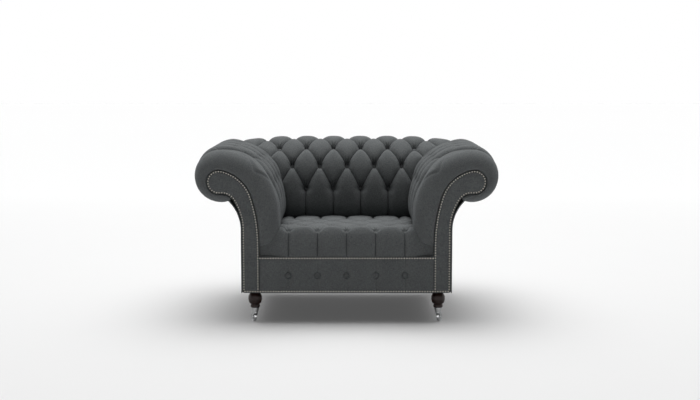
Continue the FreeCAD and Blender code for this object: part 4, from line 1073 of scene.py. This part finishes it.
def covered_button(bm, centre, normal, width, height, segments=14):
    """A domed button that faces along normal."""
    turn = normal.to_track_quat("Z", "Y").to_matrix().to_4x4()
    made = bmesh.ops.create_uvsphere(bm, u_segments=segments, v_segments=8, radius=1)
    verts = made["verts"]
    under = [vert for vert in verts if vert.co.z < -0.4]
    bmesh.ops.delete(bm, geom=under, context="VERTS")
    verts = [vert for vert in verts if vert.is_valid]
    stand = Matrix.Translation(centre) @ turn @ Matrix.Diagonal((width / 2, width / 2, height, 1))
    bmesh.ops.transform(bm, matrix=stand, verts=verts)
    rim = [edge for edge in bm.edges if edge.is_boundary and edge.verts[0] in verts]
    bmesh.ops.holes_fill(bm, edges=rim, sides=0)


def curve_normal(angle):
    turn = math.radians(angle)
    return -math.cos(turn), math.sin(turn)


def arm_button_places(side):
    t = tufts()
    places = []
    for row, (angle, number) in enumerate(zip(ROW_ANGLES, ARM_ROWS)):
        out, up = curve_normal(angle)
        across, height = section_point(angle, t.rise)
        for place in range(number):
            rear = FRONT + t.first + t.pitch * (place + (row % 2) / 2)
            centre = Vector((across - out * t.button_depth, rear, height - up * t.button_depth))
            centre.x *= side
            places.append((centre, Vector((out * side, 0, up))))
    return places


def back_button_places():
    t = tufts()
    places = []
    for angle, number in zip(ROW_ANGLES, BACK_ROWS):
        out, up = curve_normal(angle)
        across, height = section_point(angle, t.rise)
        for x in centred(number, t.pitch / 2):
            centre = Vector((x, across - shape().back_shift - out * t.button_depth, height - up * t.button_depth))
            places.append((centre, Vector((0, out, up))))
    return places


def seat_button_places():
    t = tufts()
    first_rear, first_up = seat_front_point(t.seat_first_turn)
    first_run = seat_edge_run() * (1 - t.seat_first_turn / (math.pi / 2))
    up = Vector((0, 0, 1))
    places = []
    for row, number in enumerate(SEAT_ROWS):
        rear = float(first_rear)
        height = float(first_up)
        if row:
            rear = SEAT_FRONT + t.seat_edge_depth + t.seat_row * row - first_run
            height = seat_height(rear)
        for x in centred(number, t.seat_pitch / 2):
            places.append((Vector((x, rear, height - t.seat_button_depth)), up))
    return places


def buttons_mesh(places, width, height):
    bm = bmesh.new()
    for centre, normal in places:
        covered_button(bm, centre - normal * height * 0.3, normal, width, height)
    return bm


# Facings, border, outside covers and nails

def facing_mesh(side):
    """A flat padded facing with soft edges that follows the scroll."""
    s = shape()
    face_front = front_of("arm_facing_right")
    line = round_off(scroll_line(-0.0005, s.underside), 0.008)
    bm = bmesh.new()
    verts = [bm.verts.new((side * across, face_front + 0.004, up)) for across, up in line]
    face = bm.faces.new(verts)
    grown = bmesh.ops.extrude_face_region(bm, geom=[face])
    moved = [item for item in grown["geom"] if isinstance(item, bmesh.types.BMVert)]
    bmesh.ops.translate(bm, vec=(0, 0.0135, 0), verts=moved)
    bmesh.ops.recalc_face_normals(bm, faces=bm.faces)
    front = min(bm.faces, key=lambda item: item.calc_center_median().y + (0 if len(item.verts) > 8 else 1))
    ring = line
    for inset, sunk in ((0.0015, 0.0018), (0.0028, 0.0010), (0.0038, 0.0042), (0.0084, 0.0042), (0.0094, 0.0014),
                        (0.0130, 0.0004), (0.0200, 0.0)):
        bmesh.ops.inset_region(bm, faces=[front], thickness=0.00005, depth=0, use_even_offset=True)
        wanted = round_off(scroll_line(-inset, s.underside + inset), max(0.008 - inset, 0.002))
        for vert in front.verts:
            away = np.hypot(ring[:, 0] - side * vert.co.x, ring[:, 1] - vert.co.z)
            across, up = wanted[int(away.argmin())]
            vert.co = (side * across, face_front + sunk, up)
        ring = wanted
    return bm


def border_cover():
    """The front border, a flat padded strip drawn in at its five buttons."""
    s = shape()
    face_front = front_of("front_border")
    half = s.scroll_inner - 0.0006
    along = np.linspace(-half, half, 421)
    up = np.linspace(s.underside, s.border_top, 91)
    x, z = np.meshgrid(along, up)
    edge = np.minimum(np.minimum(z - s.underside, s.border_top - z), half - np.abs(x))
    height = 0.003 * np.clip(edge / 0.016, 0, 1) ** 0.5
    for line in (s.underside + trim().nail_inset, s.border_top - trim().nail_inset):
        height = height - 0.0035 * np.exp(-((z - line) / 0.0042) ** 4)
    for column in BORDER_COLUMNS:
        away = np.abs(x - column * tufts().seat_pitch)
        height = height - 0.0022 * np.exp(-(away / 0.003) ** 2)
        near = np.hypot(away, z - BORDER_BUTTON_HEIGHT)
        height = height - 0.0065 * np.exp(-(near / 0.0142) ** 8)
    points = np.stack((x, face_front + 0.004 - height, z), axis=-1)
    bm = laid_sheet(points, np.stack((x, z), axis=-1))
    faces_towards(bm, lambda point: Vector((0, -1, 0)))
    return bm


def panel_line_points(rise):
    """The outside cover from the underside of the frame to where it meets the roll."""
    s = shape()
    bend = 0.170
    centre = (s.panel_line + bend, 0.395)
    under = under_roll_angle(rise)
    across, up = section_point(under, rise)
    end = math.atan2(float(up) - centre[1], float(across) - centre[0]) % (2 * math.pi)
    points = [(s.panel_line, z) for z in np.linspace(s.underside, centre[1], 24)]
    for place in range(1, 21):
        turn = math.pi + (end + 0.01 - math.pi) * place / 20
        points.append((centre[0] + bend * math.cos(turn), centre[1] + bend * math.sin(turn)))
    return np.array(points)


def outside_arm_cover(side):
    """The taut cloth on the outside of an arm."""
    front = front_of("outside_arm_panel_right")
    line = panel_line_points(tufts().rise * 0.5)
    rear = np.linspace(front, shape().panel_line - shape().back_shift, 60)
    points = np.empty((len(line), len(rear), 3))
    points[..., 0] = side * line[:, 0][:, None]
    points[..., 1] = rear[None, :]
    points[..., 2] = line[:, 1][:, None]
    runs = np.concatenate(([0], np.cumsum(np.hypot(*np.diff(line, axis=0).T))))
    cloth = np.stack(np.broadcast_arrays(rear[None, :], runs[:, None]), axis=-1)
    limit = np.minimum(line[:, 0][:, None] - shape().back_shift, rear[None, :])
    points[..., 1] = np.where(line[:, 0][:, None] > shape().panel_line, rear[None, :]
                              + (rear[None, :] - front) / (rear[-1] - front)
                              * (line[:, 0][:, None] - shape().panel_line), limit)
    bm = laid_sheet(points, cloth)
    faces_towards(bm, lambda point: Vector((side, 0, 0)))
    return bm


def outside_back_cover():
    """The taut cloth on the outside of the back."""
    line = panel_line_points(tufts().rise)
    share = np.linspace(-1, 1, 90)
    points = np.empty((len(line), len(share), 3))
    points[..., 0] = share[None, :] * line[:, 0][:, None]
    points[..., 1] = line[:, 0][:, None] - shape().back_shift
    points[..., 2] = line[:, 1][:, None]
    runs = np.concatenate(([0], np.cumsum(np.hypot(*np.diff(line, axis=0).T))))
    cloth = np.stack(np.broadcast_arrays(points[..., 0], runs[:, None]), axis=-1)
    bm = laid_sheet(points, cloth)
    faces_towards(bm, lambda point: Vector((0, 1, 0)))
    return bm


def nail_head(bm, centre, out):
    """A low domed nail head of a few faces."""
    width = trim().nail_width
    turn = out.to_track_quat("Z", "Y").to_matrix().to_4x4()
    made = bmesh.ops.create_cone(bm, cap_ends=False, segments=10, radius1=1.0, radius2=0.62, depth=0.55)
    verts = made["verts"]
    bmesh.ops.translate(bm, vec=(0, 0, 0.275), verts=verts)
    top = [vert for vert in verts if vert.co.z > 0.5]
    rim = [edge for edge in bm.edges if edge.is_boundary and edge.verts[0] in top and edge.verts[1] in top]
    crown = bmesh.ops.extrude_edge_only(bm, edges=rim)
    risen = [item for item in crown["geom"] if isinstance(item, bmesh.types.BMVert)]
    for vert in risen:
        vert.co.x *= 0.4
        vert.co.y *= 0.4
        vert.co.z += 0.24
    rim = [item for item in crown["geom"] if isinstance(item, bmesh.types.BMEdge) and item.is_boundary]
    bmesh.ops.holes_fill(bm, edges=rim, sides=0)
    foot = [edge for edge in bm.edges if edge.is_boundary and edge.verts[0] in verts]
    bmesh.ops.holes_fill(bm, edges=foot, sides=0)
    stand = Matrix.Translation(centre) @ turn @ Matrix.Diagonal((width / 2, width / 2, width * 0.36, 1))
    bmesh.ops.transform(bm, matrix=stand, verts=verts + risen)


def nails_mesh(places):
    bm = bmesh.new()
    for centre, out in places:
        nail_head(bm, centre, out)
    bmesh.ops.recalc_face_normals(bm, faces=bm.faces)
    return bm


def facing_nail_places(side):
    s = shape()
    inset = trim().nail_inset
    front = front_of("arm_facing_right") + 0.0032
    line = round_off(scroll_line(-inset, s.underside + inset), 0.006)
    return [(Vector((side * across, front, up)), Vector((0, -1, 0)))
            for across, up in spaced(line, trim().nail_pitch, closed=True)]


def border_nail_places():
    s = shape()
    inset = trim().nail_inset
    front = front_of("front_border") + 0.0008
    half = s.scroll_inner - 0.004
    places = []
    for up in (s.underside + inset, s.border_top - inset):
        count = round(2 * half / trim().nail_pitch)
        for place in range(count + 1):
            places.append((Vector((-half + 2 * half * place / count, front, up)), Vector((0, -1, 0))))
    return places


# Turned wood and castors

def spun(outline, segments=48):
    """A shape turned about the upright axis from an outline of (radius, height)."""
    bm = bmesh.new()
    verts = [bm.verts.new((radius, 0, height)) for radius, height in outline]
    for first, second in zip(verts, verts[1:]):
        bm.edges.new((first, second))
    bmesh.ops.spin(bm, geom=bm.verts[:] + bm.edges[:], angle=2 * math.pi, steps=segments, use_merge=True,
                   axis=(0, 0, 1), cent=(0, 0, 0))
    bmesh.ops.remove_doubles(bm, verts=bm.verts, dist=1e-6)
    bmesh.ops.recalc_face_normals(bm, faces=bm.faces)
    return bm


def round_outline(corners, step=0.0012):
    """An outline through corners of (radius, height, bulge), each stretch bowed out by its bulge."""
    points = []
    for start, end in zip(corners, corners[1:]):
        bulge = start[2] if len(start) > 2 else 0
        run = Vector((end[0] - start[0], end[1] - start[1]))
        count = max(1, int(run.length / step)) if bulge else 1
        out = Vector((run.y, -run.x)).normalized()
        for place in range(count):
            share = place / count
            lift = bulge * 4 * share * (1 - share)
            points.append((start[0] + run.x * share + out.x * lift, start[1] + run.y * share + out.y * lift))
    points.append((corners[-1][0], corners[-1][1]))
    return points


def front_leg_mesh(x, y):
    outline = round_outline([
        (0, 0.052), (0.0105, 0.052), (0.0105, 0.061), (0.0165, 0.061, 0.0008), (0.0192, 0.0640, 0.0010),
        (0.0192, 0.0700, 0.0014), (0.0168, 0.0742), (0.0172, 0.0755, 0.0026), (0.0272, 0.0900, 0.0012),
        (0.0284, 0.1020, 0.0012), (0.0258, 0.1140, 0.0006), (0.0225, 0.1185), (0.0225, 0.1310), (0.004, 0.131),
        (0.004, 0.103), (0, 0.103),
    ])
    bm = spun(outline, 56)
    bmesh.ops.translate(bm, vec=(x, y, 0), verts=bm.verts)
    return bm


# Operators

class CHAIR_OT_arm_pads(bpy.types.Operator):
    """Buttoned covers of both arms"""
    bl_idname = "chair.arm_pads"
    bl_label = "Arm pads"

    def execute(self, context):
        for label, side in SIDES:
            piece = add_piece("arm_pad_cover_" + label, arm_cover(side), "root", "tufted_cloth",
                              ["arm_pad_" + label])
            thicken(piece, PAD_CLOTH)
        return {"FINISHED"}


class CHAIR_OT_back_pad(bpy.types.Operator):
    """Buttoned cover of the back"""
    bl_idname = "chair.back_pad"
    bl_label = "Back pad"

    def execute(self, context):
        piece = add_piece("back_pad_cover", back_cover(), "root", "tufted_cloth", ["back_pad"])
        thicken(piece, PAD_CLOTH)
        return {"FINISHED"}


class CHAIR_OT_seat_pad(bpy.types.Operator):
    """Buttoned cover of the seat"""
    bl_idname = "chair.seat_pad"
    bl_label = "Seat pad"

    def execute(self, context):
        piece = add_piece("seat_pad_cover", seat_cover(), "root", "tufted_cloth", ["seat_pad"])
        thicken(piece, PAD_CLOTH)
        return {"FINISHED"}


class CHAIR_OT_buttons(bpy.types.Operator):
    """Covered buttons"""
    bl_idname = "chair.buttons"
    bl_label = "Buttons"

    def execute(self, context):
        width = tufts().button_width
        for label, side in SIDES:
            add_piece("arm_covered_buttons_" + label, buttons_mesh(arm_button_places(side), width, BUTTON_DOME),
                      "root", "button_cloth", ["arm_buttons_" + label])
        add_piece("back_covered_buttons", buttons_mesh(back_button_places(), width, BUTTON_DOME),
                  "root", "button_cloth", ["back_buttons"])
        add_piece("seat_covered_buttons", buttons_mesh(seat_button_places(), width, BUTTON_DOME),
                  "root", "button_cloth", ["seat_buttons"])
        front = front_of("front_border") + 0.0030
        places = [(Vector((column * tufts().seat_pitch, front, BORDER_BUTTON_HEIGHT)), Vector((0, -1, 0)))
                  for column in BORDER_COLUMNS]
        add_piece("border_covered_buttons", buttons_mesh(places, 0.022, 0.0038),
                  "root", "button_cloth", ["border_buttons"])
        return {"FINISHED"}


class CHAIR_OT_facings(bpy.types.Operator):
    """Scroll facings and the front border"""
    bl_idname = "chair.facings"
    bl_label = "Facings and border"

    def execute(self, context):
        for label, side in SIDES:
            add_piece("arm_facing_cover_" + label, facing_mesh(side), "root", "cloth",
                      ["arm_facing_" + label])
        piece = add_piece("front_border_cover", border_cover(), "root", "laid_cloth", ["front_border"])
        thicken(piece, 0.012)
        return {"FINISHED"}


class CHAIR_OT_outside(bpy.types.Operator):
    """Plain covers outside the arms and the back"""
    bl_idname = "chair.outside"
    bl_label = "Outside covers"

    def execute(self, context):
        for label, side in SIDES:
            piece = add_piece("outside_arm_cover_" + label, outside_arm_cover(side), "root",
                              "laid_cloth", ["outside_arm_panel_" + label])
            soften(thicken(piece, PANEL_CLOTH), 0.001)
        piece = add_piece("outside_back_cover", outside_back_cover(), "root", "laid_cloth",
                          ["outside_back_panel"])
        soften(thicken(piece, PANEL_CLOTH), 0.001)
        return {"FINISHED"}


class CHAIR_OT_nails(bpy.types.Operator):
    """Close rows of decorative nails"""
    bl_idname = "chair.nails"
    bl_label = "Nails"

    def execute(self, context):
        for label, side in SIDES:
            add_piece("facing_nails_" + label, nails_mesh(facing_nail_places(side)), "root",
                      "nail_metal")
        add_piece("border_nails", nails_mesh(border_nail_places()), "root", "nail_metal")
        return {"FINISHED"}


class CHAIR_OT_legs(bpy.types.Operator):
    """Turned front legs"""
    bl_idname = "chair.legs"
    bl_label = "Legs"

    def execute(self, context):
        for label, side in SIDES:
            low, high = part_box("front_leg_" + label)
            x = (low[0] + high[0]) / 2
            y = (low[1] + high[1]) / 2
            add_piece("turned_leg_" + label, front_leg_mesh(x, y), "root", "leg_wood",
                      ["front_leg_" + label])
        return {"FINISHED"}


class CHAIR_OT_frame_finishes(bpy.types.Operator):
    """Materials of the frame's own pieces"""
    bl_idname = "chair.frame_finishes"
    bl_label = "Frame finishes"

    def execute(self, context):
        finish_of_slot = {
            "cover_fabric": "cloth",
            "button_fabric": "button_cloth",
            "frame_wood": "frame_wood",
            "leg_wood": "leg_wood",
            "castor_metal": "castor_metal",
            "bolt_steel": "bolt_steel",
            "glide_nylon": "glide_nylon",
            "webbing_jute": "webbing_jute",
            "hessian": "hessian",
            "dust_cloth": "dust_cloth",
        }
        for name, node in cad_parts.items():
            old = node.material_slots[0].material.name if node.material_slots else ""
            wanted = [slot for slot in finish_of_slot if slot in old]
            if not wanted:
                raise RuntimeError("no finish for %s, whose material is %s" % (name, old))
            finish_node(name, finish_of_slot[wanted[0]])
        return {"FINISHED"}


class CHAIR_OT_stage(bpy.types.Operator):
    """Floor, light and camera"""
    bl_idname = "chair.stage"
    bl_label = "Stage"

    def execute(self, context):
        scene = context.scene
        scene.view_settings.view_transform = "Standard"
        bm = bmesh.new()
        bmesh.ops.create_grid(bm, x_segments=1, y_segments=1, size=30)
        mesh = bpy.data.meshes.new("floor")
        bm.to_mesh(mesh)
        bm.free()
        floor = bpy.data.objects.new("floor", mesh)
        scene.collection.objects.link(floor)
        finish = Finish("Pale floor")
        speckle = finish.noise(finish.place(), 3.0)
        seen = finish.node("ShaderNodeLightPath")
        shiny = finish.node("ShaderNodeLightPath", output="Is Glossy Ray")
        pale = tuple(finishes().floor)
        unseen = tuple(channel * 0.94 for channel in pale)
        parts = finish.node("ShaderNodeSeparateXYZ", Vector=finish.place())
        rear = Value(finish.tree, parts.socket.node.outputs[1])
        far = ((rear + 1.5) * 0.16).larger(0).smaller(1)
        tint = finish.mix((far + speckle * 0.05).smaller(1), pale, (0.87, 0.87, 0.87))
        finish.set(Base_Color=finish.mix(seen.larger(shiny), unseen, tint), Roughness=0.9, Specular_IOR_Level=0.0)
        finish.set(Emission_Color=finish.mix(seen, (0, 0, 0), pale), Emission_Strength=0.12)
        mesh.materials.append(finish.material)
        self.light_world(scene)
        self.add_lamp(scene, "top light", (0, 0.3, 3.2), (0, 0, 0.4), 2.6, 14)
        camera = bpy.data.objects.new("camera", bpy.data.cameras.new("camera"))
        camera.data.lens = 59.82
        camera.data.sensor_width = 36
        camera.location = (0.01418, -5.215, 1.05966)
        camera.rotation_euler = (math.radians(90 - 6.475), 0, 0)
        scene.collection.objects.link(camera)
        scene.camera = camera
        return {"FINISHED"}

    def light_world(self, scene):
        world = bpy.data.worlds.new("studio")
        world.use_nodes = True
        tree = world.node_tree
        tree.nodes.clear()
        seen = tree.nodes.new("ShaderNodeLightPath")
        strength = tree.nodes.new("ShaderNodeMath")
        strength.operation = "MAXIMUM"
        tree.links.new(seen.outputs["Is Camera Ray"], strength.inputs[0])
        tree.links.new(seen.outputs["Is Glossy Ray"], strength.inputs[1])
        mixed = tree.nodes.new("ShaderNodeMixShader")
        plain = tree.nodes.new("ShaderNodeBackground")
        way = tree.nodes.new("ShaderNodeTexCoord")
        parts = tree.nodes.new("ShaderNodeSeparateXYZ")
        tree.links.new(way.outputs["Generated"], parts.inputs[0])
        over = Value(tree, parts.outputs[2]) * 0.95 + Value(tree, parts.outputs[1]) * 0.30
        light = (over.larger(0) ** 6) * 4.4 + 0.02
        tree.links.new(light.socket, plain.inputs["Strength"])
        plain.inputs["Color"].default_value = (1, 1, 1, 1)
        white = tree.nodes.new("ShaderNodeBackground")
        white.inputs["Strength"].default_value = 1.0
        white.inputs["Color"].default_value = (1, 1, 1, 1)
        output = tree.nodes.new("ShaderNodeOutputWorld")
        tree.links.new(strength.outputs[0], mixed.inputs[0])
        tree.links.new(plain.outputs[0], mixed.inputs[1])
        tree.links.new(white.outputs[0], mixed.inputs[2])
        tree.links.new(mixed.outputs[0], output.inputs[0])
        scene.world = world

    def add_lamp(self, scene, name, place, aim, size, power):
        lamp = bpy.data.lights.new(name, "AREA")
        lamp.shape = "SQUARE"
        lamp.size = size
        lamp.energy = power
        holder = bpy.data.objects.new(name, lamp)
        holder.location = place
        way = Vector(aim) - Vector(place)
        holder.rotation_euler = way.to_track_quat("-Z", "Y").to_euler()
        scene.collection.objects.link(holder)


STEPS = (CHAIR_OT_frame_finishes, CHAIR_OT_arm_pads, CHAIR_OT_back_pad, CHAIR_OT_seat_pad, CHAIR_OT_buttons,
         CHAIR_OT_facings, CHAIR_OT_outside, CHAIR_OT_nails, CHAIR_OT_legs, CHAIR_OT_stage)


class CHAIR_PT_steps(bpy.types.Panel):
    """Sizes, finishes and steps of the armchair"""
    bl_idname = "CHAIR_PT_steps"
    bl_label = "Armchair"
    bl_space_type = "VIEW_3D"
    bl_region_type = "UI"
    bl_category = "Armchair"

    def draw(self, context):
        for step in STEPS:
            self.layout.operator(step.bl_idname)
        for group in (shape(), tufts(), trim(), finishes()):
            box = self.layout.box()
            for name in group.__annotations__:
                box.prop(group, name)


GROUPS = {"chair_shape": ChairShape, "chair_tufts": TuftShape, "chair_trim": TrimShape, "chair_finishes": Finishes}


def register():
    for name, group in GROUPS.items():
        bpy.utils.register_class(group)
        setattr(bpy.types.Scene, name, PointerProperty(type=group))
    for step in STEPS:
        bpy.utils.register_class(step)
    bpy.utils.register_class(CHAIR_PT_steps)


def unregister():
    bpy.utils.unregister_class(CHAIR_PT_steps)
    for step in reversed(STEPS):
        bpy.utils.unregister_class(step)
    for name, group in GROUPS.items():
        delattr(bpy.types.Scene, name)
        bpy.utils.unregister_class(group)


def main():
    register()
    bpy.ops.chair.frame_finishes()
    bpy.ops.chair.arm_pads()
    bpy.ops.chair.back_pad()
    bpy.ops.chair.seat_pad()
    bpy.ops.chair.buttons()
    bpy.ops.chair.facings()
    bpy.ops.chair.outside()
    bpy.ops.chair.nails()
    bpy.ops.chair.legs()
    bpy.ops.chair.stage()
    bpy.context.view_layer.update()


if __name__ == "__main__":
    main()
